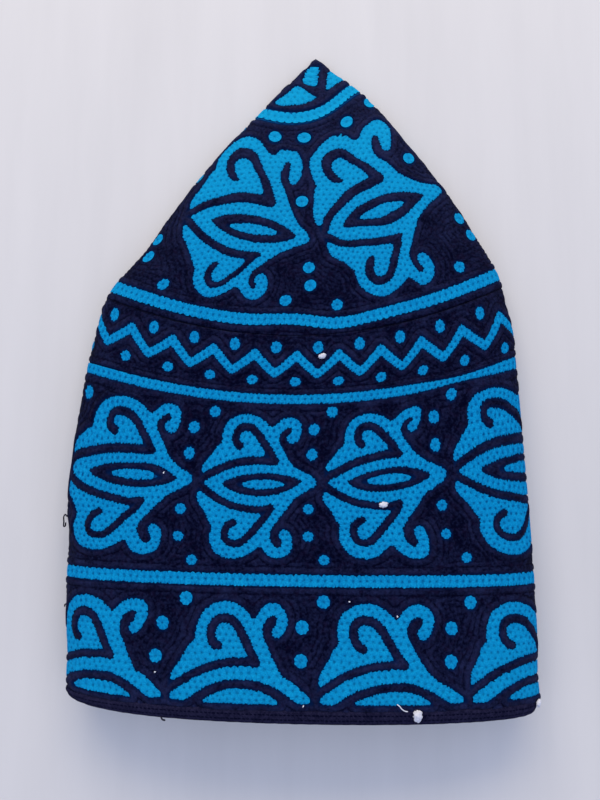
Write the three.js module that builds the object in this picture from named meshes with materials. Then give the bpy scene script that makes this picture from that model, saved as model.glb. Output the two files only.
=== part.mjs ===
// Prayer cap: a tall pointed cap of quilted, embroidered cloth that lies flat on its back.
// Millimetres, +Z up. The opening faces -Y, the tip points to +Y and the front of the cap looks up.
// A place on the cloth is given by "along", the distance from the hem up the middle of the front,
// and "turn", the angle round the cap: 0 at the middle of the front, a quarter turn at the +X fold.
import * as THREE from "three";

// Driving dimensions
const WALL = 3; // quilted cloth with its lining
const GAP = 0.3; // clear space between two sewn pieces
const HEM_HEIGHT = 7; // bound edge round the opening
const HEM_SWELL = 0.8; // how far the bound edge stands out on both sides of the wall
const SEAM_AT = 212; // crown seam, along
const TIP_AT = 401; // tip, along
const LINING_TIP_AT = 388; // where the hollow inside the crown ends
const TIP_REACH = 3; // how far the closing point lies past the last section

// Cross-section: a superellipse above the side folds and a flatter one below, which lies on the surface.
const FOLD_LEVEL = 0.4; // height of the side folds as a share of the section's height
const FRONT_FULLNESS = 2.2;
const BACK_FULLNESS = 3.6;
const BACK_PRESS = 1.03; // the back is pressed flat where its curve would pass the surface
const CORNER_SHARPNESS = 6; // how closely the hem's lift keeps to the -X fold

// Facets
const SIDES = 48;
const PLAIN_STEP = 15; // longest facet along the outside
const LINING_STEP = 26; // longest facet along the inside
const HEM_SIDES = 10;

// One row for each section. fold_y is the middle of the two side folds in plan, lean shifts the section
// to +X, skew lifts its +X fold to +Y and drops the other, bow is how far the middle of the front and
// back reach towards the hem, and corner_lift draws the hem up at the -X fold.
const COLUMNS = ["along", "fold_y", "lean", "skew", "half_width", "height", "bow", "corner_lift"];
const SECTIONS = [
  [0, -199.5, 2.8, -2.6, 131.5, 43, 1.5, 2.5],
  [7, -194, 2, -2.4, 133.6, 44, 1, 1.5],
  [35, -166, 1, -1.5, 134, 44, 0.6, 0],
  [72, -128.2, 0.2, -1.6, 134.6, 42, 0.8, 0],
  [125, -74, -1.2, -0.2, 134.6, 38.5, 5.5, 0],
  [172, -6.5, 1, 2.2, 130, 33.5, 22.5, 0],
  [195, 18.5, 2.6, 3.2, 127.4, 31.5, 27.5, 0],
  [212, 40, 3.2, 3.4, 123, 29.5, 30.5, 0],
  [246, 73, 6.4, 4.1, 103.2, 26.5, 29.4, 0],
  [273, 99, 7.8, 4, 87.4, 23.5, 28.6, 0],
  [301, 124, 8.8, 3.4, 69.6, 20.5, 25.9, 0],
  [328, 147, 9.9, 3, 52, 17.5, 21.9, 0],
  [352, 166.5, 11, 3, 36, 14.5, 17.6, 0],
  [374, 183.5, 10.9, 1.6, 20.2, 11, 11.9, 0],
  [393, 195.5, 10.6, 0.6, 8, 7.5, 5, 0],
  [401, 201, 10.4, 0, 2, 5, 1, 0],
];

// Raised stitched rows and the sunk seam, each going all the way round.
const RIB_SLOPE = 1.4; // width of a rib's sloping side
const RIBS = [
  { row: "lower band", along: 72.5, width: 6.6, rise: 0.9 },
  { row: "upper band", along: 171.5, width: 5.6, rise: 0.9 },
  { row: "crown seam", along: SEAM_AT, width: 1.6, rise: -1.3 },
  { row: "crown band", along: 221.5, width: 7, rise: 0.9 },
  { row: "tip band", along: 354.5, width: 5.6, rise: 0.8 },
];

const CLOTH = new THREE.MeshStandardMaterial({ name: "cloth", color: 0x14121f, roughness: 0.92, metalness: 0 });
const BINDING = new THREE.MeshStandardMaterial({ name: "binding", color: 0x191724, roughness: 0.95, metalness: 0 });

// One column of the section table at any distance along, on a smooth curve through its rows. The slope at
// each row is the mean of the slopes on both sides, weighted towards the nearer row.
function sectionValue(column, along) {
  const c = COLUMNS.indexOf(column);
  const last = SECTIONS.length - 2;
  const span = (i) => SECTIONS[i + 1][0] - SECTIONS[i][0];
  const slope = (i) => (SECTIONS[i + 1][c] - SECTIONS[i][c]) / span(i);
  const slopeAt = (row) => {
    if (row === 0) return slope(0);
    if (row > last) return slope(last);
    return (slope(row - 1) * span(row) + slope(row) * span(row - 1)) / (span(row) + span(row - 1));
  };
  let i = 0;
  while (i < last && along > SECTIONS[i + 1][0]) i += 1;
  const t = (along - SECTIONS[i][0]) / span(i);
  const start = SECTIONS[i][c] * (1 + 2 * t) * (1 - t) ** 2 + slopeAt(i) * span(i) * t * (1 - t) ** 2;
  const end = SECTIONS[i + 1][c] * t * t * (3 - 2 * t) + slopeAt(i + 1) * span(i) * t * t * (t - 1);
  return start + end;
}

// A point of the plain outer surface, before ribs and thickness.
function surfacePoint(along, turn) {
  const value = (column) => sectionValue(column, along);
  const front = Math.cos(turn) >= 0;
  const power = 2 / (front ? FRONT_FULLNESS : BACK_FULLNESS);
  const across = Math.sign(Math.sin(turn)) * Math.abs(Math.sin(turn)) ** power;
  const swell = Math.abs(Math.cos(turn)) ** power;
  const height = value("height");
  const fold = FOLD_LEVEL * height;
  const bow = value("bow") * (1 - across ** 2);
  const corner = value("corner_lift") * Math.max(0, -across) ** CORNER_SHARPNESS;
  return new THREE.Vector3(
    value("lean") + value("half_width") * across,
    value("fold_y") + value("skew") * across - bow + corner,
    front ? fold + (height - fold) * swell : fold * (1 - Math.min(1, BACK_PRESS * swell)),
  );
}

// A point at a depth below the plain outer surface, along the surface's own normal. A negative depth
// stands out. Nothing goes under the surface that the cap lies on.
function clothPoint(along, turn, depth) {
  const step = 0.01;
  const round = surfacePoint(along, turn + step).sub(surfacePoint(along, turn - step));
  const up = surfacePoint(along + step, turn).sub(surfacePoint(along - step, turn));
  const normal = round.cross(up).normalize();
  const point = surfacePoint(along, turn).addScaledVector(normal, -depth);
  point.z = Math.max(0, point.z);
  return point;
}

function clothRing(along, depth) {
  return Array.from({ length: SIDES }, (_, i) => clothPoint(along, (2 * Math.PI * i) / SIDES, depth));
}

function ribRise(along) {
  const share = (rib) => {
    const past = Math.abs(along - rib.along) - rib.width / 2;
    return THREE.MathUtils.clamp(1 - past / RIB_SLOPE, 0, 1);
  };
  return RIBS.reduce((sum, rib) => sum + rib.rise * share(rib), 0);
}

// Distances from start to end: both ends, the corners of each rib between them, and even steps in the gaps.
function stations(start, end, step, ribs) {
  const corners = ribs.flatMap(({ along, width }) =>
    [-1, 1].flatMap((side) => [along + (side * width) / 2, along + side * (width / 2 + RIB_SLOPE)]),
  );
  const kept = corners.filter((at) => at > start && at < end).sort((a, b) => a - b);
  const marks = [start, ...kept, end];
  const even = (from, to) => {
    const count = Math.ceil((to - from) / step);
    return Array.from({ length: count }, (_, i) => from + ((to - from) * i) / count);
  };
  return [...marks.slice(1).flatMap((mark, i) => even(marks[i], mark)), end];
}

function outsideRings(start, end) {
  return stations(start, end, PLAIN_STEP, RIBS).map((along) => clothRing(along, -ribRise(along)));
}

function liningRings(start, end) {
  return stations(start, end, LINING_STEP, []).map((along) => clothRing(along, WALL));
}

// A closed skin over a list of rings. A ring of one point is a pole. With no poles the last ring joins the first.
function skin(rings) {
  const points = rings.flat();
  const starts = rings.map((_, i) => rings.slice(0, i).flat().length);
  const faces = [];
  const joins = rings[0].length === 1 ? rings.length - 1 : rings.length;
  for (let r = 0; r < joins; r += 1) {
    const next = (r + 1) % rings.length;
    const at = (ring, i) => starts[ring] + (i % rings[ring].length);
    for (let i = 0; i < SIDES; i += 1) {
      if (rings[r].length > 1) faces.push(at(r, i), at(r, i + 1), at(next, i + 1));
      if (rings[next].length > 1) faces.push(at(r, i), at(next, i + 1), at(next, i));
    }
  }
  const geometry = new THREE.BufferGeometry();
  geometry.setAttribute("position", new THREE.Float32BufferAttribute(points.flatMap((p) => p.toArray()), 3));
  geometry.setIndex(faces);
  geometry.computeVertexNormals();
  return geometry;
}

// The middle of a section, pushed on towards the tip, which closes a skin there.
function pole(along, reach) {
  const height = sectionValue("height", along);
  const y = sectionValue("fold_y", along) - sectionValue("bow", along) / 2 + reach;
  return [new THREE.Vector3(sectionValue("lean", along), y, height / 2)];
}

function sewnPiece(name, rings, material) {
  const mesh = new THREE.Mesh(skin(rings), material);
  mesh.name = name;
  return mesh;
}

function crown() {
  const edge = SEAM_AT + GAP / 2;
  const liningEnd = LINING_TIP_AT - LINING_STEP / 4;
  const inside = [...liningRings(edge, liningEnd), pole(LINING_TIP_AT, 0)].reverse();
  const outside = [...outsideRings(edge, TIP_AT), pole(TIP_AT, TIP_REACH)];
  return sewnPiece("crown", [...inside, ...outside], CLOTH);
}

function sideBand() {
  const low = HEM_HEIGHT + GAP / 2;
  const high = SEAM_AT - GAP / 2;
  const rings = [...outsideRings(low, high), ...liningRings(low, high).reverse()];
  return sewnPiece("side_band", rings, CLOTH);
}

// The binding is an oval section carried round the opening.
function hemRoll() {
  const middle = HEM_HEIGHT / 2;
  const halfHeight = (HEM_HEIGHT - GAP) / 2;
  const halfThickness = WALL / 2 + HEM_SWELL;
  const rings = Array.from({ length: HEM_SIDES }, (_, i) => {
    const angle = (2 * Math.PI * i) / HEM_SIDES;
    return clothRing(middle - halfHeight * Math.cos(angle), WALL / 2 - halfThickness * Math.sin(angle));
  });
  return sewnPiece("hem_roll", rings, BINDING);
}

// Puts the middle of the pieces' common box over the origin, with its lowest point at zero.
function setDown(group) {
  const box = new THREE.Box3().setFromObject(group, true);
  const middle = box.getCenter(new THREE.Vector3());
  group.children.forEach((piece) => piece.position.set(-middle.x, -middle.y, -box.min.z));
  return group;
}

const cap = new THREE.Group();
cap.name = "prayer_cap";
cap.add(crown(), sideBand(), hemRoll());

export default setDown(cap);
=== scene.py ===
"""Prayer cap of quilted navy cloth with turquoise eyelet embroidery, lying flat on its back.

A place on the cloth is given by "along", the distance in millimetres from the hem up the middle of
the front, and "share", the part of the way round the cap at that height: 0 at the middle of the
front, about 0.25 at the +X fold, about -0.25 at the -X fold and 0.5 at the middle of the back.
Shapes are worked out in millimetres and become metres when a mesh is made.
"""
import math

import bpy
import numpy as np
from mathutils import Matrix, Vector


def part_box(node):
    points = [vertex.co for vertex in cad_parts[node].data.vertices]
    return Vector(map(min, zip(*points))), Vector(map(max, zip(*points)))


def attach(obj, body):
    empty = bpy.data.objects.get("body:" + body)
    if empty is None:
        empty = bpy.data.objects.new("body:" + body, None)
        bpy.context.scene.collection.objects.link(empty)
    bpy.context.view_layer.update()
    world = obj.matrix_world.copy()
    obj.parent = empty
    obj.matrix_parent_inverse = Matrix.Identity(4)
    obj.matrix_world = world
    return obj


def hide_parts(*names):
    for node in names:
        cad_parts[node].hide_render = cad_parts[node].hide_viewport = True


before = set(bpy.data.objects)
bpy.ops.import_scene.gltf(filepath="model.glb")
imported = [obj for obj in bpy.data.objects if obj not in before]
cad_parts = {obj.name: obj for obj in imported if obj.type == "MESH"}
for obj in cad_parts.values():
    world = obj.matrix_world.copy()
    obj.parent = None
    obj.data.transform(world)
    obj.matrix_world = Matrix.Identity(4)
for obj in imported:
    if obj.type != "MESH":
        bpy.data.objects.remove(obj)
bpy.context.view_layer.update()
MM = 0.001
BODY = "root"
TURN = 2 * np.pi

# The cap's form, as its solids have it
WALL = 3
GAP = 0.3
HEM_HEIGHT = 7
HEM_SWELL = 0.8
SEAM_AT = 212
TIP_AT = 401
LINING_TIP_AT = 388
TIP_REACH = 3
FOLD_LEVEL = 0.4
FRONT_FULLNESS = 2.2
BACK_FULLNESS = 3.6
BACK_PRESS = 1.03
CORNER_SHARPNESS = 6
# along, fold_y, lean, skew, half_width, height, bow, corner_lift
SECTIONS = np.array([
    [0, -199.5, 2.8, -2.6, 131.5, 43, 1.5, 2.5],
    [7, -194, 2, -2.4, 133.6, 44, 1, 1.5],
    [35, -166, 1, -1.5, 134, 44, 0.6, 0],
    [72, -128.2, 0.2, -1.6, 134.6, 42, 0.8, 0],
    [125, -74, -1.2, -0.2, 134.6, 38.5, 5.5, 0],
    [172, -6.5, 1, 2.2, 130, 33.5, 22.5, 0],
    [195, 18.5, 2.6, 3.2, 127.4, 31.5, 27.5, 0],
    [212, 40, 3.2, 3.4, 123, 29.5, 30.5, 0],
    [246, 73, 6.4, 4.1, 103.2, 26.5, 29.4, 0],
    [273, 99, 7.8, 4, 87.4, 23.5, 28.6, 0],
    [301, 124, 8.8, 3.4, 69.6, 20.5, 25.9, 0],
    [328, 147, 9.9, 3, 52, 17.5, 21.9, 0],
    [352, 166.5, 11, 3, 36, 14.5, 17.6, 0],
    [374, 183.5, 10.9, 1.6, 20.2, 11, 11.9, 0],
    [393, 195.5, 10.6, 0.6, 8, 7.5, 5, 0],
    [401, 201, 10.4, 0, 2, 5, 1, 0],
])
SIDE_SHIFT = -0.05  # how far the sections' own middle lies to +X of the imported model's

# The bound edge as it looks: it covers the cloth's edge on both sides
HEM_LOW, HEM_HIGH = -1.2, 8.6
HEM_ROWS = (2.2, 5.2)  # stitched rows, along
HEM_STITCH = 2.2
HEM_TUCK = 3  # how far its +X end is drawn in

# Fineness of the meshes
ROW_STEP = 0.8
SIDE_COLUMNS = 616
CROWN_COLUMNS = 560
FRONT_DENSITY = 1.5  # columns stand this much closer on the front than on the back
LINING_STEP = 12
LINING_COARSER = 4  # outer columns to one column of the lining

# Stitched relief
FIRST_CORD = 4.3  # width of the cord that runs along an outline
CORD_PITCH = 3.1  # the ones beyond it
CORD_HEIGHT = 0.95
FAR_CORD_HEIGHT = 0.7
RIDGE_HALF = 2.1
ARCH_CURL_HALF = 2.4
OUTLINE_SWELL = 0.1  # how far the stitches stand out past the charted outlines
CROWN_SWELL = 0.45
CROWN_RIDGE_TRIM = 0.25
LENS_FULLNESS = 0.8
PLATE_SLACK = 6
DOT_TRENCH = 1.2
VALLEY_DEPTH = 0.45
TOP_HEIGHT = 0.9  # highest stitch above the plain surface
# Places by the side folds where the cloth gives: along, share, half length and depth
GIVES = [(20, -0.25, 18, 1.6), (92, -0.25, 14, 1.1), (245, -0.25, 35, 1.3), (388, -0.25, 9, 1.4),
         (18, 0.25, 14, 1.8), (205, 0.25, 14, 1.5), (388, 0.25, 9, 1.3)]
GIVE_SHARE = 0.035


# The plain surface

def section(along):
    """Section values at distances along: a cubic through the table's rows. The slope at a row is the
    mean of the slopes on both sides, weighted towards the nearer row."""
    station = SECTIONS[:, 0]
    span = np.diff(station)
    slope = np.diff(SECTIONS[:, 1:], axis=0) / span[:, None]
    inner = (slope[:-1] * span[1:, None] + slope[1:] * span[:-1, None]) / (span[1:] + span[:-1])[:, None]
    tangent = np.vstack([slope[:1], inner, slope[-1:]])
    along = np.asarray(along, float)
    i = np.clip(np.searchsorted(station, along, side="left") - 1, 0, len(span) - 1)
    t = ((along - station[i]) / span[i])[..., None]
    h = span[i][..., None]
    start = SECTIONS[i, 1:] * (1 + 2 * t) * (1 - t) ** 2 + tangent[i] * h * t * (1 - t) ** 2
    end = SECTIONS[i + 1, 1:] * t * t * (3 - 2 * t) + tangent[i + 1] * h * t * t * (t - 1)
    return np.moveaxis(start + end, -1, 0)


def surface(along, turn):
    """Points of the plain outer surface: a superellipse above the side folds and a flatter one below,
    pressed flat where it would pass the surface that it lies on, bowed towards the hem in the middle."""
    fold_y, lean, skew, half_width, height, bow, corner_lift = section(along)
    front = np.cos(turn) >= 0
    power = 2 / np.where(front, FRONT_FULLNESS, BACK_FULLNESS)
    across = np.sign(np.sin(turn)) * np.abs(np.sin(turn)) ** power
    swell = np.abs(np.cos(turn)) ** power
    fold = FOLD_LEVEL * height
    x = lean + half_width * across - SIDE_SHIFT
    corner = corner_lift * np.maximum(0, -across) ** CORNER_SHARPNESS
    y = fold_y + skew * across - bow * (1 - across ** 2) + corner - MIDDLE_Y
    z = np.where(front, fold + (height - fold) * swell, fold * (1 - np.minimum(1, BACK_PRESS * swell)))
    return np.stack(np.broadcast_arrays(x, y, z), axis=-1)


def outward(along, turn):
    """Unit normals of the plain surface: the step round crossed with the step up the cloth."""
    step = 0.01
    round_ = surface(along, turn + step) - surface(along, turn - step)
    up = surface(along + step, turn) - surface(along - step, turn)
    normal = np.cross(round_, up)
    return normal / np.linalg.norm(normal, axis=-1, keepdims=True)


def even_turns(quarter=400):
    """Angles from 0 to a full turn that stand about evenly along a superellipse of both fullnesses."""
    angle = np.linspace(0, TURN, 4 * quarter + 1)
    fullness = np.where(np.cos(angle) >= 0, FRONT_FULLNESS, BACK_FULLNESS) / 2
    s = np.sign(np.sin(angle)) * np.abs(np.sin(angle)) ** fullness
    c = np.sign(np.cos(angle)) * np.abs(np.cos(angle)) ** fullness
    turn = np.mod(np.arctan2(s, c), TURN)
    turn[-1] = TURN
    return turn


def arcs(along):
    """The turns of one ring and, for each distance along, the arc from the front's middle to each turn."""
    turn = even_turns()
    ring = surface(np.asarray(along, float)[:, None], turn[None, :])
    length = np.linalg.norm(np.diff(ring, axis=1), axis=-1)
    return turn, np.pad(np.cumsum(length, axis=1), ((0, 0), (1, 0)))


def turns_at(along, share):
    """Angle round the section for every row of along and column of share, by the arc length."""
    turn, arc = arcs(along)
    place = np.mod(share, 1)
    return np.array([np.interp(place * row[-1], row, turn) for row in arc])


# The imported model's box is centred, and its highest y is the crown's closing point.
MIDDLE_Y = 0
tip_fold_y, _, _, _, _, tip_bow, _ = section(TIP_AT)
MIDDLE_Y = tip_fold_y - tip_bow / 2 + TIP_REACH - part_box("crown")[1].y / MM
PERIMETER_STATIONS = np.linspace(0, TIP_AT, 101)
PERIMETERS = arcs(PERIMETER_STATIONS)[1][:, -1]


def perimeter(along):
    return np.interp(along, PERIMETER_STATIONS, PERIMETERS)


def wrapped(share):
    """The same place round the cap, from -0.5 to 0.5."""
    return np.mod(share + 0.5, 1) - 0.5


# The embroidery chart. Motifs are charted in millimetres. Those of the side start from the
# junction at their left end; the crown's lie in a fan round the tip. A ridge's third value is half
# its width there.

UPPER_OUTLINE = [
    (2.4, 4.2), (2.2, 7), (3, 10.2), (6.8, 14.4), (9.6, 18.2), (11.9, 20.3), (12, 22), (12.1, 26),
    (13.6, 29.8), (15.4, 32.2), (19.8, 34.6), (24.5, 35.6), (30, 34.8), (35, 32.2), (37.6, 29.9),
    (38.8, 29.2), (40.5, 29.6), (43, 31.8), (46.2, 33.8), (49.5, 34.2), (53, 33.4), (55.5, 31), (56.3, 28),
    (55.6, 24.5), (54.2, 22), (51.6, 21), (49, 22), (48.3, 24), (49.5, 25.2), (50.8, 26.5), (51, 28),
    (50.2, 29), (48.6, 29.1), (46, 27.6), (44.2, 25), (44, 22.5), (45, 20), (48, 16), (50.2, 12.5),
    (52, 10.4), (55, 8.4), (59, 6.4), (63, 4.6), (65.5, 2.8), (66.3, 1.2),
]
UPPER_STEM = [(0, 0), (4, 3.4), (10, 6.5), (15, 8.8), (20, 10.5), (25, 11.55), (30, 12.05), (35, 12.25),
              (42.9, 11.7)]
UPPER_CURL = [(42.2, 12.1), (39.9, 16), (37.9, 18.4), (35.3, 21.5), (33, 24.3), (30.6, 26.7), (28.2, 28.3),
              (25.5, 28.9), (22.7, 28.5), (20.6, 26.9), (19.6, 23.6), (20.3, 20.9), (22.3, 19.2)]
LOWER_OUTLINE = [
    (1.8, -3.3), (0.8, -4.5), (0.3, -7), (0.8, -9.8), (2.5, -12.5), (4.5, -15.3), (6.3, -19), (7.8, -22.5),
    (8.8, -24.5), (8.4, -27), (7.5, -30), (7.6, -33), (8.8, -36.5), (10.5, -39.5), (13.5, -41.7),
    (17, -42.7), (21, -42.9), (25, -42), (28, -40.5), (31, -38.5), (33, -36.8), (34.5, -36.2), (36, -36.5),
    (37, -38.5), (39, -40.5), (41.5, -42), (44, -42.3), (47, -41.9), (50, -40.3), (52, -37.8), (52.6, -35),
    (52.6, -31.5), (51.8, -28), (50, -26), (48, -25.6), (46.3, -27), (45.8, -29), (46.3, -31), (47.3, -33),
    (47, -35.3), (45.3, -36.4), (43.3, -35.8), (41.5, -33.5), (40.6, -30.5), (41, -27), (42.3, -24.3),
    (44.5, -20.8), (47, -17.5), (50, -13.5), (52.5, -10), (55, -7), (58, -5.3), (61, -3.3), (64, -2),
    (66, -0.3),
]
LOWER_STEM = [(0, 0), (5, -3.6), (10, -7), (15, -9.9), (20, -12), (25, -13), (30, -13.8), (35, -14.2),
              (41.3, -12.9)]
LOWER_CURL = [(41.3, -12.9), (38.6, -17.6), (36.2, -20.6), (33.6, -24.1), (30.6, -27.8), (27.6, -31),
              (24.4, -33.5), (21, -34.3), (18, -33.6), (16.1, -31.2), (15.7, -28.2), (16.6, -25.2),
              (18.6, -22.9), (20.8, -21.7)]
EYE_OUTER = dict(left=(13.7, 0.2), right=(58.1, 1.8), rise=4.9, drop=7.5)
EYE_INNER = dict(left=(23.2, -0.1), right=(49.5, 0.2), rise=2.6, drop=2.6)

ARCH_OUTLINE = [
    (3.5, 8.3), (3.8, 12), (4.8, 15), (7.5, 18.7), (10, 22.3), (12.5, 26.5), (15.3, 29.3), (16.5, 30.2),
    (16.7, 33), (17.1, 36), (18.6, 40), (20.2, 43.2), (22.5, 45.5), (25.5, 47.8), (29, 49.2), (32.5, 49.8),
    (36, 49.6), (40, 48.2), (43, 46.2), (46, 43.3), (48.3, 41.2), (49.6, 42.4), (51.5, 45.2), (54, 47.8),
    (57, 49.3), (60, 49.3), (62.7, 47.8), (64.7, 45.5), (66.1, 42.5), (66, 39), (65, 36.5), (63.8, 34.5),
    (62.5, 33), (60.5, 31.9), (58.8, 32.5), (57.7, 34.5), (58.2, 36.5), (59.7, 38), (60.3, 39.8),
    (60.6, 41.5), (60, 42.7), (58.5, 43.2), (56.5, 42.5), (54.5, 40.5), (53, 37.5), (52.7, 34.5),
    (53.3, 31.5), (54.5, 29.2), (55.8, 26), (57.5, 22), (59.5, 18.5), (62, 14.5), (65, 12), (70, 9.3),
    (74, 6), (77, 2.8), (78.3, 0.3),
]
ARCH_UNDERSIDE = [(70.6, 0), (68, 2), (66, 3.5), (62, 6.4), (58, 8.4), (54, 9.8), (50, 11), (46, 11.5),
                  (42, 11.7), (38, 11.5), (34, 11.2), (30, 10.3), (26, 8.9), (22, 7.2), (18, 4.8), (14, 2.2),
                  (10.6, 0.1), (3.2, 0.4)]
ARCH_STEM = [(0, 3), (2.5, 5.4), (5, 7.5), (10, 10.3), (15, 13.2), (20, 15.5), (25, 17.3), (30, 18.8),
             (35, 19.6), (40, 19.9), (45, 20), (49.3, 19.3)]
ARCH_CURL = [(49, 19.5), (47.6, 22), (46.3, 24.7), (44.4, 28.6), (42.7, 32), (40.5, 36), (38.3, 39),
             (35.3, 40.9), (32, 41.3), (29, 40.5), (26.6, 38.3), (25.3, 35.3), (25.1, 32.2), (25.9, 29.8),
             (27.3, 28.4), (28.6, 27.9)]
ARCH_LEAF = [(21, -0.6), (21, 0.5), (24, 2.5), (28, 4.5), (32, 6), (36, 6.8), (40, 7), (45, 6.7), (50, 6),
             (54, 4.8), (57, 3), (60.3, 0.5), (60.3, -0.6)]

CROWN_UPPER = [
    (-41.8, -116.8), (-42.3, -112.9), (-40.5, -107.3), (-38.5, -102.8), (-37.1, -98.3), (-36.1, -93.7),
    (-34.6, -91.6), (-33.5, -90.6), (-34, -87.8), (-34.2, -83.3), (-33.3, -78.3), (-31.5, -74.5),
    (-28.5, -71), (-25, -67.7), (-20.5, -65.6), (-15.4, -66.3), (-10.8, -69.1), (-7.3, -72.4), (-4, -74.5),
    (-1.5, -73.8), (-0.5, -71), (0.6, -69.5), (3.8, -68.7), (8.3, -68.1), (10.4, -69.1), (12.7, -72.2),
    (15, -76.2), (16, -79.9), (16.3, -83.8), (15.7, -87.4), (14.4, -89.7), (12.3, -88.8), (10.8, -86.3),
    (10.2, -82.7), (9.5, -79.3), (8.5, -76.3), (7, -75.3), (5.5, -76.6), (4.7, -79.9), (4.4, -84.5),
    (5.4, -88.3), (7.5, -92), (10.2, -95.3), (13.1, -99.3), (16, -104.1), (19.2, -108.3), (22.3, -112),
    (26.5, -116.2), (30, -118.3), (32.9, -120.3), (34.8, -123.3),
]
CROWN_UNDER = [
    (34.2, -125.5), (31.5, -127.4), (28.3, -129.3), (25.2, -132), (21, -134.9), (17.9, -138.3), (14.4, -142),
    (11, -146.3), (8.2, -149.9), (6.8, -153.7), (7.1, -156.6), (8.5, -159.5), (10.6, -161.6), (13, -161.8),
    (14, -159.9), (12.7, -158), (11.5, -155.8), (12.3, -153), (14.6, -151.4), (16.8, -152.3), (19, -155.5),
    (20, -159.1), (19.6, -162.8), (17.5, -166), (14, -167.8), (10.2, -167.2), (6.7, -164.7), (3.1, -162.3),
    (0.7, -161.8), (-1, -163.5), (-4, -166.6), (-7.9, -169.3), (-12, -170.8), (-16, -170.2), (-19.8, -168),
    (-22.9, -165.3), (-25.3, -161.6), (-26.4, -157.8), (-26.8, -154.5), (-29.2, -151.3), (-31.8, -147),
    (-34.6, -142.7), (-37.5, -138.7), (-40.5, -134.7), (-41.9, -130.5), (-42, -127.2),
]
CROWN_UPPER_STEM = [(-45, -122.5, 2.2), (-41.5, -120.3, 2.6), (-38.5, -118.4, 2.7), (-34, -115.2, 2.8),
                    (-30, -112.9, 2.85), (-25, -110.8, 3.1), (-20, -108.5, 3.4), (-15, -106.5, 3.6),
                    (-10, -105.4, 3.6), (-5, -105, 3.7), (0, -104.8, 3.8), (5.3, -105.1, 3.3)]
CROWN_UPPER_CURL = [(5.3, -105.1, 3.3), (3, -101.3, 3.3), (0.6, -97, 3.1), (-1.8, -93, 2.8), (-4.6, -89.4, 2.6),
                    (-7.6, -86, 2.7), (-11.2, -81.4, 2.9), (-14, -78.6, 3.3), (-17, -77.2, 3.7), (-20, -77, 4),
                    (-23, -78.3, 3.8), (-25, -81.2, 3.3), (-25.8, -85, 2.8), (-24.6, -89, 2.8),
                    (-22.8, -92.3, 2.6), (-20.8, -94.3, 2.1), (-18.9, -95.2, 1.3)]
CROWN_LOWER_STEM = [(-45, -122.5, 2.2), (-41, -124.8, 2.5), (-37.4, -127.6, 2.6), (-34, -130.4, 2.6),
                    (-30, -133.2, 2.6), (-25, -136.2, 2.6), (-20, -138.4, 2.6), (-15, -140.3, 2.7),
                    (-10, -141.5, 2.8), (-5, -141.8, 2.7), (0, -141.7, 2.9), (4.5, -141.2, 2.9), (8, -139.8, 2)]
CROWN_LOWER_CURL = [(4.6, -142.2, 2.9), (3.6, -145.3, 2.3), (2.6, -147.6, 2), (0.6, -150.9, 2), (-2, -154.5, 2),
                    (-4.3, -157, 2), (-6.4, -160, 2), (-8.8, -162.1, 2), (-11.6, -163.1, 2.2),
                    (-14.5, -162.6, 2.3), (-16.9, -160.3, 2.4), (-18.1, -157.3, 2.45), (-18, -154.8, 2.4),
                    (-16.9, -152.2, 2.3), (-15.5, -150.4, 1.8), (-14.4, -149.7, 1.2)]
CROWN_EYE_OUTER = dict(left=(-26.2, -123.3), right=(27.1, -123.3), rise=7.7, drop=9.4)
CROWN_EYE_INNER = dict(left=(-15.4, -125.2), right=(16.6, -123.8), rise=3.4, drop=3.2)

TIP_LEFT = [(-24, -32.7), (-20.3, -30), (-17, -27.7), (-13.9, -24.3), (-11.3, -21.5), (-9, -20.7), (-6.5, -22.1),
            (-4, -24.1), (-2, -26.3), (-0.3, -28.1), (-2.1, -29.7), (-5, -31.7), (-9, -33.5), (-14, -34.7),
            (-18.5, -35.2), (-22.5, -34.3)]
TIP_TOP = [(0.3, -3.3), (1, -6), (0.7, -10), (0.5, -15), (0, -19.5), (-2.3, -18.7), (-5.2, -17.8), (-6.7, -15.7),
           (-5.3, -12.3), (-3.9, -8), (-1.5, -4.7)]
TIP_RIGHT = [(5.2, -10.8), (7.5, -9), (14, -10), (19, -13), (17.5, -17), (13, -20), (10, -21.5), (7, -23),
             (5, -24), (4.7, -20), (5, -15)]
# Each lobe with the share and tightness of its fan
TIP_LOBES = [(TIP_LEFT, 0, 1), (TIP_TOP, 0, 1), (TIP_RIGHT, 0, 1), (TIP_LEFT, 0.542, 1.25), (TIP_LEFT, 0.752, 1.25),
             (TIP_TOP, 0.5, 1), (TIP_TOP, 0.72, 1)]

# No two repeats are sewn alike. Marks are plain points of a chart, such as tips and the ends of
# curls, and each repeat of the front has the places where its own marks are.
MIDDLE_MARKS = [
    (2.4, 4.2), (12, 20.3), (24.5, 35.6), (38.8, 29.2), (49.5, 34.2), (56.3, 28), (51.6, 21), (50, 29),
    (44, 22.5), (52, 10.4), (66.3, 1.2), (44.4, 10.3), (37.6, 14.6), (5.8, 0.2), (13.7, 0.2), (58.1, 1.8),
    (24.3, 17.8), (25.5, 30.6), (17.4, 23.5), (25.5, 27.1), (35, 5.9), (35, -6.5), (23.2, -0.1), (49.5, 0.2),
    (1.8, -3.3), (8.8, -24.5), (7.5, -31), (20, -42.9), (34.5, -36.2), (44, -42.3), (52.6, -33), (48, -25.6),
    (45.3, -36.4), (40.6, -30.5), (43.3, -11.3), (35.8, -16.7), (22.2, -20.4), (20.5, -36.9), (13.5, -29),
    (21.5, -31.8),
]
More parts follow.
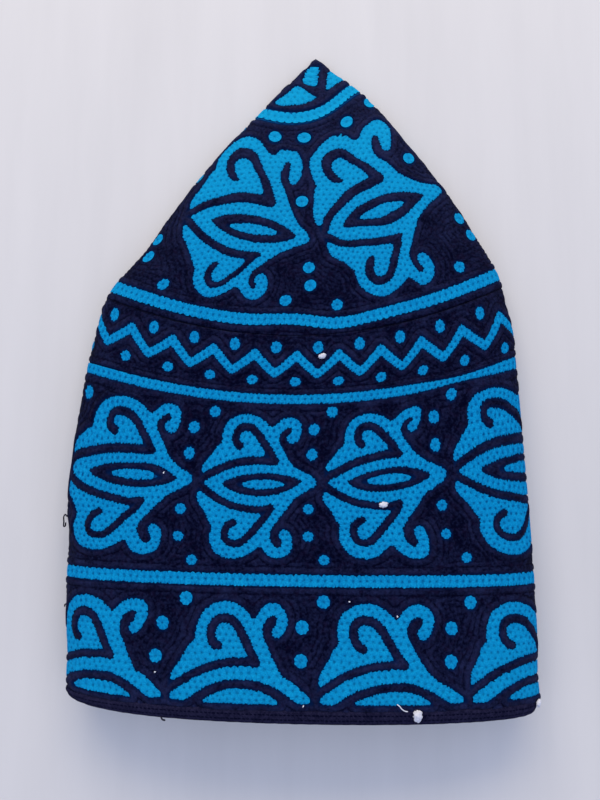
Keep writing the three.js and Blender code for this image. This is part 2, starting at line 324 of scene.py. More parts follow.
MIDDLE_PLACES = [
    [(-8.5, 9), (3.3, 21.3), (21, 36.6), (37.4, 30.9), (47.4, 36.9), (55.1, 31.3), (50.2, 23.1), (48.3, 31.9),
     (41.9, 25.6), (51.1, 12.5), (65.8, 2.2), (43, 13.1), (35, 16.6), (-5.4, 3.1), (5.2, 2.6), (57.4, 1.8),
     (20.5, 19.7), (21.1, 31.6), (10.6, 25), (21.4, 28), (31.1, 8), (33, -3.8), (16.8, 2.6), (48.3, 1.8),
     (-8.3, -2.5), (-0.8, -19.7), (-3.8, -27.5), (10.5, -40.5), (28.6, -34.2), (38.3, -41.8), (49.8, -31.9),
     (45.5, -23.9), (41.8, -35.5), (36.4, -27.5), (40.5, -9.1), (31.6, -14.4), (15.8, -16.6), (13.6, -34.3),
     (4.1, -26.9), (13.6, -29.3)],
    None,
    [(2.9, 5), (12, 20), (23.9, 34.5), (36.4, 29.7), (47.3, 34.9), (52.6, 31.3), (47.6, 23.6), (47.6, 30.6),
     (41.7, 25), (50.8, 12.5), (65.6, 3.8), (42.3, 12.5), (34.9, 16.6), (5.8, 0.8), (13.8, 1.1), (57.6, 3.4),
     (22.6, 18.1), (23.9, 29.7), (17.1, 23.8), (24.5, 26.6), (34.5, 7.6), (33.3, -4.3), (21.7, 1.1), (48.3, 2.4),
     (2.6, -3.1), (9.2, -23.1), (8.8, -30), (22, -42.4), (34.8, -34.7), (45.8, -42), (54.2, -34.4),
     (49.8, -23.6), (46.4, -35.6), (41.3, -27.5), (42.3, -9.1), (34.9, -15), (22, -18.4), (21.4, -35.8),
     (14.2, -27.5), (21.4, -30.8)],
    [(2.3, 7.4), (11.8, 23.3), (27, 36.4), (47, 30.6), (60, 36), (67, 31), (62, 23), (61, 31.5),
     (56, 24.5), (65, 12.5), (78, 4), (56.5, 12.5), (49.5, 16.6), (6.6, 3.9), (16.9, 3.8), (70, 4),
     (28.3, 20.5), (27, 31.9), (18.3, 26.9), (29.5, 28.4), (48, 8.9), (48, -3.2), (28.9, 3.3), (62, 2.6),
     (2.9, 0), (14.2, -20.3), (14, -26.3), (32, -41.3), (50, -35.6), (59, -42), (67, -33),
     (63, -23.5), (60, -36), (55, -28), (58, -9.5), (48, -14.5), (31.3, -16.6), (32, -34.5),
     (20.9, -25), (33.3, -28.9)],
]
ARCH_MARKS = [
    (3.5, 8.3), (7.5, 18.7), (16.5, 30.2), (16.7, 34), (32.5, 49.8), (48.3, 41.2), (58.5, 49.5), (66.1, 42),
    (60.5, 31.9), (58.5, 43.2), (52.7, 34.5), (58.6, 20), (78.3, 0.3), (52, 18.3), (44.4, 22.8), (20, 17.8),
    (30, 21), (3.3, 0.6), (20, 13.2), (30, 16.6), (40, 17.4), (40, 11.6), (21, 0.6), (60, 0.6), (40, 7),
    (28.8, 27.8), (27.2, 33.5), (32.8, 39), (32, 43.6), (23.1, 33.5), (10.8, 0.2), (70.5, 0.2), (70, 9.3),
]
ARCH_PLACES = [
    [(4, 9.5), (8, 20), (17, 31), (17.5, 35), (32.5, 49.9), (50, 42.8), (62.5, 49.7), (70.5, 44.5),
     (63, 32.2), (61.5, 43.7), (54.5, 34.5), (60, 20), (79.3, 1), (52.6, 19), (44, 23.6), (20, 17.7),
     (30, 21.6), (3.6, 0.6), (20, 13.6), (30, 16.3), (40, 17.3), (40, 11.6), (25.3, 1.8), (60.5, 1), (41.5, 7.2),
     (29, 28), (28, 34), (32.5, 39.2), (32.5, 44), (23.7, 34), (11, 0.2), (71.7, 0.3), (70, 10.8)],
    None,
    [(2.2, 7.3), (5.8, 18.7), (13.2, 29.2), (12.5, 34), (28.5, 49.3), (44, 41.2), (54.8, 48.9), (63.8, 42.5),
     (58, 30.8), (55.5, 42.5), (49.3, 35), (56.2, 20), (79, 0.6), (50, 17.5), (41.6, 21.8), (20, 17.7),
     (30, 20.2), (2.5, 0.3), (20, 12.6), (30, 15.3), (40, 16.2), (42, 10.5), (20.5, 0.8), (59.5, 0.6), (42, 6.1),
     (25.8, 26.5), (23.6, 34), (28.3, 38.5), (28, 43.2), (18.6, 34), (10.3, 0.1), (70.8, 0.1), (70, 8)],
    [(2.3, 7.3), (6, 18.7), (12.8, 29), (13.2, 34), (30, 48.8), (51, 39.5), (62, 48), (69.5, 41),
     (64, 30.5), (61.5, 41.5), (56, 33.5), (62, 19), (80.5, 0.3), (55, 17), (47.6, 21.6), (20, 17),
     (30, 19.7), (3.1, 0.1), (20, 12.2), (30, 14.9), (40, 16.2), (40, 10.3), (23, 1), (62, 0.4), (40, 5.9),
     (28.3, 26.3), (25.7, 33.5), (30.5, 38.2), (31.5, 42.3), (20, 33.2), (10.6, 0.1), (73, 0), (73, 8)],
]
CROWN_MARKS = [
    (-41.8, -116.8), (-42.3, -112.9), (-33.5, -90.8), (-34.2, -84), (-31.5, -74.5), (-20.5, -65.6),
    (-4, -74.5), (0, -69.8), (8, -68.1), (12.7, -72.2), (16.3, -83), (13.8, -89.8), (7, -75.3), (4.4, -84),
    (10.2, -95.3), (16, -104.1), (22.3, -112), (30, -118.3), (34.8, -123.3), (25.2, -132), (14.4, -142),
    (6.8, -154), (12, -162), (14.6, -151.4), (11.5, -155.8), (14, -160), (20, -159), (13.5, -168),
    (0.8, -161.8), (-12, -170.8), (-25.3, -161.6), (-26.8, -154.5), (-42, -127.2), (-41.9, -130.7),
    (-34.6, -142.7), (-37.5, -122.3), (-0.5, -100.6), (9.5, -106.5), (-13, -109.7), (-20, -104.9),
    (-18.9, -95.2), (-23.1, -85.8), (-18, -81), (-20, -72.8), (-28.5, -84), (-26.2, -123.3), (27.1, -123.3),
    (2, -115.7), (0, -132.8), (-15.4, -125.2), (16.6, -123.8), (3, -121), (-2, -127.7), (1.5, -144.7),
    (10.4, -138), (-20, -141.2), (-12, -138.3), (-14.4, -149.7), (-11.5, -160.9), (-15.8, -155.5),
    (-12, -165.3), (-20.6, -155.5), (-1.3, -151.2), (-6.3, -156.2), (1.3, -153.3), (-4.6, -160.8),
]
CROWN_RIGHT_PLACES = [
    (-31.8, -116.7), (-33.6, -110.2), (-26, -88.5), (-26.8, -81), (-24.8, -69.2), (-10.6, -58.3),
    (2.6, -66.7), (9, -61.3), (17.8, -58.2), (24.4, -62.1), (24.8, -71), (20.8, -80), (14.4, -67.5), (11, -77),
    (16.3, -86.7), (22, -96), (28.5, -102), (41, -108), (48.6, -111.2), (31.9, -124.2), (21.5, -138.3),
    (16.3, -151.5), (21.5, -162.5), (24.4, -150.4), (21.9, -154.2), (24.7, -159.6), (30.5, -158.8),
    (23.2, -169.2), (12.5, -162.9), (-3.1, -170.8), (-17.7, -160), (-18.9, -150.5), (-30.8, -126.5),
    (-31.3, -132.1), (-24.3, -142.5), (-28.3, -119.6), (4.8, -93.3), (14.4, -97.5), (-6.4, -103),
    (-12.6, -98.8), (-11.8, -89.8), (-15.6, -79.6), (-10.6, -74.3), (-11.8, -67.1), (-20.2, -79.2),
    (-19.3, -120), (35.3, -114.2), (7.3, -108.3), (4, -127.7), (-9.2, -118.5), (22.2, -116.5), (7.3, -113.3),
    (4, -121.9), (8, -140.8), (15.3, -134.6), (-11.2, -137.2), (-5.1, -132.4), (-6.8, -146), (-3.9, -158.8),
    (-7.8, -152.5), (-3.1, -163.6), (-12.7, -152.5), (5, -148.3), (1.5, -154), (9, -152.5), (4.5, -160),
]

# Where the repeats stand: the ones of the front as sewn, from start to end of each chart, and the
# rest sharing out what is left of the round.
MOTIF_REACH = 68.8  # length that the middle motif's chart stands for
MIDDLE_AXIS = 127.3
MIDDLE_CHARTS = [(-0.2246, -0.0996), (-0.0996, 0.0224), (0.0224, 0.1545), (0.1545, 0.2787)]
MIDDLE_JUNCTIONS = [-0.246, -0.0996, 0.0224, 0.1545]
MIDDLE_BACK = (0.295, 0.754, 4)  # from, to and how many
ARCH_REACH = 80
ARCH_AXIS = 11.5
ARCH_CHARTS = [(-0.2726, -0.1294), (-0.1294, 0.0112), (0.0112, 0.1546), (0.1546, 0.2978)]
ARCH_BACK = (0.2978, 0.7274, 3)
CROWN_CHART_ANGLE = 3.0  # the crown's cloth laid flat is a fan of this angle
CROWN_MIDDLES = [(-0.098, 1), (0.102, 1), (0.4, 0.9), (0.64, 0.9)]  # share and tightness of each fan

# Dots: along, then how far right of each junction of the front, in millimetres
MIDDLE_DOTS = [(164, 8, 6.2, 5.5, 2.5), (155, -5.3, -4.8, -4.5, -8.8), (142.5, -6.3, -6, -5.2, -8.7),
               (113.6, -8.6, -8.8, -6.9, -7), (97.6, -9.9, -10, -7.6, -6), (83.8, -3, -2.6, 0.5, 4.8)]
MIDDLE_DOT_RISE = 8  # how much higher the dots stand for each turn to the right
ARCH_DOTS = [(61.8, 11.5, 5.8, 5), (48.9, -1.3, -5.9, -6.6), (32.3, -5.1, -7, -7.9)]
ARCH_DOT_DROP = 5  # how much lower the dots stand for each turn to the right
CROWN_DOTS = [(298.6, -0.0232), (254.4, -0.0036), (242.8, 0), (233.3, -0.0285), (229.3, 0.035),
              (229.6, -0.1815), (253, -0.232), (242, -0.2265), (306.8, 0.2195), (232.4, 0.1973),
              (258.7, 0.236), (247, 0.2385), (296, -0.2445), (298.4, 0.4767), (254.3, 0.4957),
              (242.8, 0.4997), (233.3, 0.471), (229.3, 0.5347)]
TIP_DOTS = [(339.4, -0.129), (343.3, -0.0405), (349, 0.109), (352.5, 0.234), (349, 0.36), (343, 0.49),
            (338, 0.62), (335, 0.75)]
MIDDLE_DOT, ARCH_DOT, ZIGZAG_DOT, CROWN_DOT = 3.05, 3.45, 3.1, 3.5  # radii
CROWN_DOT_GROWTH = 0.011  # the crown's dots grow by this towards the tip

ZIGZAG_REPEATS = 22
ZIGZAG_FIRST_PEAK = -0.00845
ZIGZAG_WIDTH = 4.8
BAND_WIDTH = {"lower": 6.4, "upper": 5.6, "crown": 6.8, "tip": 10.2}
# The crown band's two ends meet with a step: share, half width and size
CROWN_STEP_AT, CROWN_STEP_HALF, CROWN_STEP = 0.01, 0.045, 4.5
PINCH_AT, PINCH_HALF, PINCH = 0.17, 0.04, 2.7  # the upper band is drawn narrower at this share, by this much


def smooth_curve(points, steps=4):
    """A centripetal Catmull-Rom curve through the points, with a few steps to each span."""
    p = np.array(points, float)
    p = np.vstack([2 * p[0] - p[1], p, 2 * p[-1] - p[-2]])
    stride = np.linalg.norm(np.diff(p[:, :2], axis=0), axis=1)
    knots = np.concatenate([[0], np.cumsum(stride ** 0.5)])
    k0, k1, k2, k3 = (knots[i:len(knots) - 3 + i, None, None] for i in range(4))
    p0, p1, p2, p3 = (p[i:len(p) - 3 + i, None, :] for i in range(4))
    t = k1 + (k2 - k1) * (np.arange(steps) / steps)[None, :, None]
    a1 = p0 + (p1 - p0) * (t - k0) / (k1 - k0)
    a2 = p1 + (p2 - p1) * (t - k1) / (k2 - k1)
    a3 = p2 + (p3 - p2) * (t - k2) / (k3 - k2)
    b1 = a1 + (a2 - a1) * (t - k0) / (k2 - k0)
    b2 = a2 + (a3 - a2) * (t - k1) / (k3 - k1)
    curve = b1 + (b2 - b1) * (t - k1) / (k2 - k1)
    return np.vstack([curve.reshape(-1, p.shape[1]), p[-2]])


def lens(left, right, rise, drop):
    """A leaf-shaped closed outline: a full bow on each side of the chord from left to right."""
    s = -np.cos(np.linspace(0, math.pi, 17))
    chord = np.outer((1 - s) / 2, left) + np.outer((1 + s) / 2, right)
    bulge = np.stack([0 * s, (1 - s * s) ** LENS_FULLNESS], axis=1)
    return np.vstack([chord + rise * bulge, (chord - drop * bulge)[-2:0:-1]])


def line_distance(x, y, line, closed=False):
    """Distance from points to the nearest edge of a line of points. For a closed one it is negative
    inside, where a ray from the point crosses the line an odd number of times. For a line with a
    third column, the half width there is taken off."""
    a = line if closed else line[:-1]
    b = np.roll(line, -1, axis=0) if closed else line[1:]
    edge = b - a
    length2 = np.maximum((edge[:, :2] ** 2).sum(axis=1), 1e-9)

    def part(px, py):
        dx, dy = px[:, None] - a[:, 0], py[:, None] - a[:, 1]
        t = np.clip((dx * edge[:, 0] + dy * edge[:, 1]) / length2, 0, 1)
        gap = np.sqrt((dx - t * edge[:, 0]) ** 2 + (dy - t * edge[:, 1]) ** 2)
        if line.shape[1] == 3:
            gap = gap - a[:, 2] - t * edge[:, 2]
        gap = gap.min(axis=1)
        if not closed:
            return gap
        spans = (a[:, 1] > py[:, None]) != (b[:, 1] > py[:, None])
        rise = np.where(np.abs(edge[:, 1]) < 1e-9, 1e-9, edge[:, 1])
        crossing = spans & (dx < edge[:, 0] * dy / rise)
        return np.where(crossing.sum(axis=1) % 2 == 1, -gap, gap)

    blocks = range(0, len(x), 4096)
    return np.concatenate([part(x[i:i + 4096], y[i:i + 4096]) for i in blocks]) if len(x) else x


def thin_plate(marks, places):
    """A smooth change of a flat chart that carries each mark to about its place, as a thin plate of
    metal would bend: a sum of r^2 log r^2 round the marks and an even part."""
    if places is None:
        return np.array
    marks, places = np.array(marks, float), np.array(places, float)
    count = len(marks)

    def bend(points):
        r2 = ((points[:, None, :2] - marks[None]) ** 2).sum(axis=-1)
        return r2 * np.log(r2 + 1e-9)

    def even(points):
        return np.column_stack([np.ones(len(points)), points[:, :2]])
    table = np.zeros((count + 3, count + 3))
    table[:count, :count] = bend(marks) + PLATE_SLACK * np.eye(count)
    table[:count, count:] = even(marks)
    table[count:, :count] = even(marks).T
    answer = np.linalg.solve(table, np.vstack([places, np.zeros((3, 2))]))

    def change(points):
        moved = bend(points) @ answer[:count] + even(points) @ answer[count:]
        return np.column_stack([moved, points[:, 2:]])
    return change


class Motif:
    """Closed turquoise outlines and the dark ridges sewn over them, in one flat chart."""

    def __init__(self, outlines, ridges, eye=None, swell=OUTLINE_SWELL):
        self.outlines = outlines
        self.ridges = ridges
        self.eye = eye
        self.swell = swell

    def moved(self, change):
        """The same motif with every point put through a change of chart."""
        eye = [change(o) for o in self.eye] if self.eye else None
        return Motif([change(o) for o in self.outlines], [change(r) for r in self.ridges], eye, self.swell)

    def distance(self, x, y):
        """Distance to the turquoise, negative on it: the nearest outline, less the ridges and the eye."""
        cloth = np.min([line_distance(x, y, o, closed=True) for o in self.outlines], axis=0) - self.swell
        for ridge in self.ridges:
            cloth = np.maximum(cloth, -line_distance(x, y, ridge))
        if self.eye:
            ring = np.maximum(line_distance(x, y, self.eye[0], closed=True),
                              -line_distance(x, y, self.eye[1], closed=True))
            cloth = np.maximum(cloth, -ring)
        return cloth


def even_ridge(points, half=RIDGE_HALF):
    """A smooth ridge of even width."""
    return smooth_curve(np.column_stack([points, np.full(len(points), half)]))


def middle_motif():
    outline = np.vstack([smooth_curve(UPPER_OUTLINE), smooth_curve(LOWER_OUTLINE)[::-1]])
    ridges = [even_ridge(r) for r in (UPPER_STEM, UPPER_CURL, LOWER_STEM, LOWER_CURL)]
    return Motif([outline], ridges, [lens(**EYE_OUTER), lens(**EYE_INNER)])


def arch_motif():
    outline = np.vstack([smooth_curve(ARCH_OUTLINE), smooth_curve(ARCH_UNDERSIDE)])
    return Motif([outline, smooth_curve(ARCH_LEAF)], [even_ridge(ARCH_STEM), even_ridge(ARCH_CURL, ARCH_CURL_HALF)])


def crown_motif():
    outline = np.vstack([smooth_curve(CROWN_UPPER), smooth_curve(CROWN_UNDER)])
    lines = (CROWN_UPPER_STEM, CROWN_UPPER_CURL, CROWN_LOWER_STEM, CROWN_LOWER_CURL)
    eye = [lens(**CROWN_EYE_OUTER), lens(**CROWN_EYE_INNER)]
    ridges = [smooth_curve(line) - [0, 0, CROWN_RIDGE_TRIM] for line in lines]
    return Motif([outline], ridges, eye, CROWN_SWELL)


def even_starts(low, high, count):
    """Starts of a number of repeats that share out a part of the round."""
    return [low + (high - low) * i / count for i in range(count)]


def row_of_motifs(motif, marks, places, charts, back):
    """Every repeat of a row as its own motif and the shares where its chart starts and ends."""
    low, high, count = back
    width = (high - low) / count
    front = [(motif.moved(thin_plate(marks, p)), *chart) for p, chart in zip(places, charts)]
    return front + [(motif, start, start + width) for start in even_starts(*back)]


def fan(along, share, middle, tightness=1):
    """The crown's cloth laid flat round its tip, with the given share pointing down."""
    r = TIP_AT - along
    angle = wrapped(share - middle) * CROWN_CHART_ANGLE * tightness
    return r * np.sin(angle), -r * np.cos(angle)


def stamp(field, near, distance):
    """Lowers the field to a shape's distance where the shape is near."""
    field[near] = np.minimum(field[near], distance(near))


def round_distance(along, share, at_along, at_share):
    """Distance over the cloth to a place, by the arc at the mean height."""
    arc = wrapped(share - at_share) * perimeter((along + at_along) / 2)
    return np.hypot(arc, along - at_along)


def band_middle(name, share):
    """How far along each turquoise band runs, at a share of the way round."""
    swing = np.sin(TURN * share)
    lift = (1 - np.cos(TURN * share)) / 2
    past = (wrapped(share) - CROWN_STEP_AT) / CROWN_STEP_HALF
    return {
        "lower": 72.6 - 0.4 * swing,
        "upper": 172.3 + 1.6 * lift - 0.7 * swing,
        "crown": 220 + 0.3 * swing - 1.2 * lift - CROWN_STEP * past * np.exp(-past ** 2),
        "tip": TIP_AT - 40 + 8.2 * swing - 6 * lift,
    }[name]


def band_gap(name, along, share):
    """Distance to a band, negative on it."""
    width = BAND_WIDTH[name]
    if name == "upper":
        width = width - PINCH * np.exp(-((wrapped(share) - PINCH_AT) / PINCH_HALF) ** 2)
    return np.abs(along - band_middle(name, share)) - width / 2


def zigzag_points():
    """Corners of the zigzag, in share and along: peaks and valleys in turn, wider apart at the folds."""
    share = ZIGZAG_FIRST_PEAK + np.arange(2 * ZIGZAG_REPEATS) / (2 * ZIGZAG_REPEATS)
    share = share + 0.011 * np.sin(TURN * share) ** 11
    swing = np.sin(TURN * share)
    peak = 201 - 1.4 * swing
    valley = 189.4 - 2.6 * swing
    return share, np.where(np.arange(len(share)) % 2 == 0, peak, valley)


def dot_places():
    """All dots as rows of along, share and radius."""
    rows = []
    junctions = MIDDLE_JUNCTIONS + even_starts(*MIDDLE_BACK)
    for along, *front in MIDDLE_DOTS:
        offsets = front + [np.mean(front)] * MIDDLE_BACK[2]
        for s, o in zip(junctions, offsets):
            level = along + MIDDLE_DOT_RISE * wrapped(s)
            rows.append((level, s + o / perimeter(along), MIDDLE_DOT))
    junctions = [start for start, _ in ARCH_CHARTS[1:]] + even_starts(*ARCH_BACK)
    for along, *front in ARCH_DOTS:
        offsets = front + [np.mean(front)] * ARCH_BACK[2]
        for s, o in zip(junctions, offsets):
            level = along - ARCH_DOT_DROP * wrapped(s)
            rows.append((level, s + o / perimeter(along), ARCH_DOT))
    share, corner = zigzag_points()
    swing = np.sin(TURN * share)
    upper = np.arange(len(share)) % 2 == 1
    dot_along = np.where(upper, 205.2 - 0.6 * swing, 184.3 - 2.5 * swing)
    rows += [(a, s, ZIGZAG_DOT) for a, s in zip(dot_along, share)]
    rows += [(a, s, CROWN_DOT + CROWN_DOT_GROWTH * (a - 230)) for a, s in CROWN_DOTS + TIP_DOTS]
    return np.array(rows)


DOTS = dot_places()
MIDDLE_ROW = row_of_motifs(middle_motif(), MIDDLE_MARKS, MIDDLE_PLACES, MIDDLE_CHARTS, MIDDLE_BACK)
ARCH_ROW = row_of_motifs(arch_motif(), ARCH_MARKS, ARCH_PLACES, ARCH_CHARTS, ARCH_BACK)
CROWN_LEFT = crown_motif()
CROWN_RIGHT = CROWN_LEFT.moved(thin_plate(CROWN_MARKS, CROWN_RIGHT_PLACES))
CROWN_RIGHT.ridges[3][:, 2] += 0.7  # its lower curl is sewn with a wider ridge
CROWN_ROW = [CROWN_LEFT, CROWN_RIGHT, CROWN_LEFT, CROWN_LEFT]


def tip_ornament(along, share):
    """Distance to the lobes that fill the round inside the tip band, on the front and on the back."""
    out = np.full(along.shape, 99.0)
    for lobe, middle, tightness in TIP_LOBES:
        x, y = fan(along, share, middle, tightness)
        out = np.minimum(out, line_distance(x, y, smooth_curve(lobe + lobe[:1])[:-1], closed=True))
    return out


def embroidery(along, share):
    """Distances over the cloth to the nearest turquoise, negative on it: first with the dots, then
    without them. Each is the least of the distances to all bands, the zigzag and the motifs."""
    shape = np.broadcast(along, share).shape
    a = np.broadcast_to(along, shape).ravel()
    s = np.broadcast_to(share, shape).ravel()
    field = np.full(a.size, 40.0)
    round_ = perimeter(a)

    for name in BAND_WIDTH:
        field = np.minimum(field, band_gap(name, a, s))

    corner_share, corner_along = zigzag_points()
    near = np.flatnonzero((a > 178) & (a < 212))
    if near.size:
        from_first = np.mod(s[near] - corner_share[0], 1)
        step = np.searchsorted(corner_share - corner_share[0], from_first, side="right") - 1
        gap = np.full(near.size, 99.0)
        for shift in (-1, 0, 1):
            k0, k1 = (step + shift) % len(corner_share), (step + shift + 1) % len(corner_share)
            x = wrapped(s[near] - corner_share[k0]) * round_[near]
            dx = wrapped(corner_share[k1] - corner_share[k0]) * round_[near]
            dy = corner_along[k1] - corner_along[k0]
            y = a[near] - corner_along[k0]
            t = np.clip((x * dx + y * dy) / (dx ** 2 + dy ** 2), 0, 1)
            gap = np.minimum(gap, np.hypot(x - t * dx, y - t * dy))
        field[near] = np.minimum(field[near], gap - ZIGZAG_WIDTH / 2)

    rows = [(MIDDLE_ROW, MIDDLE_AXIS, MOTIF_REACH, -56, 50), (ARCH_ROW, ARCH_AXIS, ARCH_REACH, -12, 60)]
    for row, axis, reach, low, high in rows:
        for motif, start, end in row:
            x = (wrapped(s - (start + end) / 2) + (end - start) / 2) * round_
            stretch = (end - start) * perimeter(axis) / reach
            x = x / stretch
            y = a - axis
            near = np.flatnonzero((x > -22) & (x < reach + 22) & (y > low) & (y < high))
            stamp(field, near, lambda n: motif.distance(x[n], y[n]))

    for motif, (middle, tightness) in zip(CROWN_ROW, CROWN_MIDDLES):
        near = np.flatnonzero((a > SEAM_AT + 6) & (a < 356) & (np.abs(wrapped(s - middle)) < 0.18))
        if near.size:
            x, y = fan(a[near], s[near], middle, tightness)
            field[near] = np.minimum(field[near], motif.distance(x, y))

    near = np.flatnonzero(a > 330)
    stamp(field, near, lambda n: tip_ornament(a[n], s[n]))

    dotted = field.copy()
    for at_along, at_share, radius in DOTS:
        near = np.flatnonzero((np.abs(a - at_along) < 6) & (np.abs(wrapped(s - at_share)) * round_ < 6))
        stamp(dotted, near, lambda n: round_distance(a[n], s[n], at_along, at_share) - radius)
    return dotted.reshape(shape), field.reshape(shape)


def ripple(along, share, size, seed):
    """Soft irregular height from -1 to 1, the same after one turn round the cap: a sum of waves whose
    length is about size, with set directions and phases."""
    draw = np.random.default_rng(seed)
    total = 0
    for _ in range(7):
        direction = draw.uniform(0, TURN)
        around = round(perimeter(100) / size * math.cos(direction) * draw.uniform(0.6, 1.4))
        up = math.sin(direction) / size * draw.uniform(0.6, 1.4)
        total = total + np.cos(TURN * (around * share + up * along) + draw.uniform(0, TURN))
    return total / 7 ** 0.5 / 1.6


def cord_number(plain, along, share):
    """How many cords lie between a place and the nearest band or motif, with the part of its own: a
    wide one along the outline, then narrower ones that wander."""
    wander = plain + 0.9 * ripple(along, share, 13, 3) * np.clip((plain - 3) / 4, 0, 1)
    return np.where(wander < FIRST_CORD, wander / FIRST_CORD, 1 + (wander - FIRST_CORD) / CORD_PITCH)


def given_at(along, share):
    """How far the cloth is sunk by the side folds: a sum of soft bells."""
    total = 0
    for at_along, at_share, half, depth in GIVES:
        near = ((along - at_along) / half) ** 2 + (wrapped(share - at_share) / GIVE_SHARE) ** 2
        total = total + depth * np.exp(-near)
    return total


def relief(field, cord, along, share):
    """Height of the cloth above the plain surface. Cords lie side by side round the embroidery, each
    one a rounded bar between two valleys; farther out they are lower in places. The ground under the
    turquoise is level with the valleys."""
    bar = (1 - np.abs(2 * np.mod(cord, 1) - 1) ** 2.8) ** 0.8
    bar = bar * np.clip(field / DOT_TRENCH, 0, 1) ** 0.5
    far = FAR_CORD_HEIGHT * (0.75 + 0.25 * ripple(along, share, 9, 14))
    cords = bar * np.where(cord < 1, CORD_HEIGHT, far) + 0.15 * np.clip(cord - 1, 0, 1)
    soft = 0.22 * ripple(along, share, 22, 8)
    return np.where(field > 0, cords, 0) - VALLEY_DEPTH + soft - given_at(along, share)


def lifted(base, normal, height):
    """Points at a height over the plain surface. Where the back is pressed on the surface that it lies
    on, the stitches are pushed in, so that their tops are level with it."""
    pressed = np.clip(1 - base[..., 2] / 4, 0, 1) * np.clip(-normal[..., 2] * 1.5, 0, 1)
    point = base + normal * (height - TOP_HEIGHT * pressed)[..., None]
    point[..., 2] = np.maximum(point[..., 2], 0)
    return point


# Meshes

def make_object(name, points, faces, material, replaces=(), values=None, uv=None, rims=None):
    """A mesh object from points in millimetres and arrays of faces with equal corner counts. An edge
    between two points that rims marks is a sharp one."""
    corners = np.concatenate([f.ravel() for f in faces])
    sizes = np.concatenate([np.full(len(f), f.shape[1]) for f in faces])
    mesh = bpy.data.meshes.new(name)
    mesh.vertices.add(len(points))
    mesh.vertices.foreach_set("co", (points * MM).astype(np.float32).ravel())
    mesh.loops.add(len(corners))
    mesh.loops.foreach_set("vertex_index", corners.astype(np.int32))
    mesh.polygons.add(len(sizes))
    starts = np.concatenate([[0], np.cumsum(sizes)[:-1]])
    mesh.polygons.foreach_set("loop_start", starts.astype(np.int32))
    for label, numbers in (values or {}).items():
        mesh.attributes.new(label, "FLOAT", "POINT").data.foreach_set("value", numbers.astype(np.float32))
    if uv is not None:
        mesh.uv_layers.new(name="cloth").data.foreach_set("uv", uv.astype(np.float32).ravel())
    mesh.update(calc_edges=True)
    mesh.shade_smooth()
    if rims is not None:
        ends = np.empty(2 * len(mesh.edges), np.int32)
        mesh.edges.foreach_get("vertices", ends)
        sharp = rims[ends.reshape(-1, 2)].all(axis=1)
        mesh.attributes.new("sharp_edge", "BOOLEAN", "EDGE").data.foreach_set("value", sharp)
    mesh.materials.append(material)
    piece = bpy.data.objects.new(name, mesh)
    bpy.context.scene.collection.objects.link(piece)
    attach(piece, BODY)
    if replaces:
        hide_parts(*replaces)
    return piece


def ring_faces(lower, upper, count, flip=False):
    """Quads between two rings of count points each, whose first points are given."""
    i = np.arange(count)
    j = (i + 1) % count
    quads = np.stack([lower + i, lower + j, upper + j, upper + i], axis=1)
    return quads[:, ::-1] if flip else quads


def grid_faces(first, rows, count):
    """Quads over rows of rings that follow one another."""
    i = np.arange(count)
    j = (i + 1) % count
    start = first + count * np.arange(rows - 1)[:, None]
    quads = np.stack([start + i, start + j, start + count + j, start + count + i], axis=-1)
    return quads.reshape(-1, 4)


def joining_faces(fine, coarse, coarse_count, ratio):
    """Triangles from a fine ring up to a coarse one, with ratio fine points to one coarse point."""
    k = np.arange(coarse_count)
    fine_count = coarse_count * ratio
    fans = [np.stack([fine + k * ratio + i, fine + (k * ratio + i + 1) % fine_count, coarse + k], axis=1)
            for i in range(ratio)]
    tops = np.stack([fine + (k + 1) * ratio % fine_count, coarse + (k + 1) % coarse_count, coarse + k], axis=1)
    return np.vstack(fans + [tops])


def cloth_uv(faces, share, along):
    """Centimetres round and up the cloth for every face corner, with no jump at the middle of the back."""
    corners = []
    for f in faces:
        s = share[f]
        s = np.where((s.max(axis=1) - s.min(axis=1) > 0.5)[:, None] & (s < 0), s + 1, s)
        corners.append(np.stack([s * perimeter(100) / 10, along[f] / 10], axis=-1).reshape(-1, 2))
    return np.concatenate(corners)


class Cloth:
    """A stretch of the outer cloth worked out on a grid: rows along, columns round."""

    def __init__(self, low, high, columns, row_step=ROW_STEP):
        self.along = np.linspace(low, high, round((high - low) / row_step) + 1)
        self.share = share_columns(columns)
        turn = turns_at(self.along, self.share)
        self.base = surface(self.along[:, None], turn)
        self.normal = outward(self.along[:, None], turn)
        self.field, plain = embroidery(self.along[:, None], self.share[None, :])
        self.cord = cord_number(plain, self.along[:, None], self.share[None, :])
        height = relief(self.field, self.cord, self.along[:, None], self.share[None, :])
        self.points = lifted(self.base, self.normal, height)

    def at(self, grid, along, share):
        """Values of a grid at any place, in a straight line between its four nearest nodes."""
        step = self.along[1] - self.along[0]
        r = np.clip((along - self.along[0]) / step, 0, len(self.along) - 1.001)
        count = len(self.share)
        stations = np.append(self.share, self.share[0] + 1)
        place = np.where(wrapped(share) < self.share[0], wrapped(share) + 1, wrapped(share))
        c = np.clip(np.interp(place, stations, np.arange(count + 1)), 0, count - 0.001)
        r0, c0 = r.astype(int), c.astype(int)
        c1 = (c0 + 1) % count
        fr, fc = r - r0, c - c0
        if grid.ndim == 3:
            fr, fc = fr[..., None], fc[..., None]
        low = grid[r0, c0] * (1 - fc) + grid[r0, c1] * fc
        high = grid[r0 + 1, c0] * (1 - fc) + grid[r0 + 1, c1] * fc
        return low * (1 - fr) + high * fr


def share_columns(count):
    """Shares of the columns: even steps, closer together on the front than on the back."""
    fine = np.linspace(-0.5, 0.5, 2001)
    front = 1 / (1 + np.exp((np.abs(fine) - 0.27) / 0.01))
    weight = 1 + (FRONT_DENSITY - 1) * front
    total = np.concatenate([[0], np.cumsum((weight[1:] + weight[:-1]) / 2)])
    return np.interp(np.arange(count) / count, total / total[-1], fine)


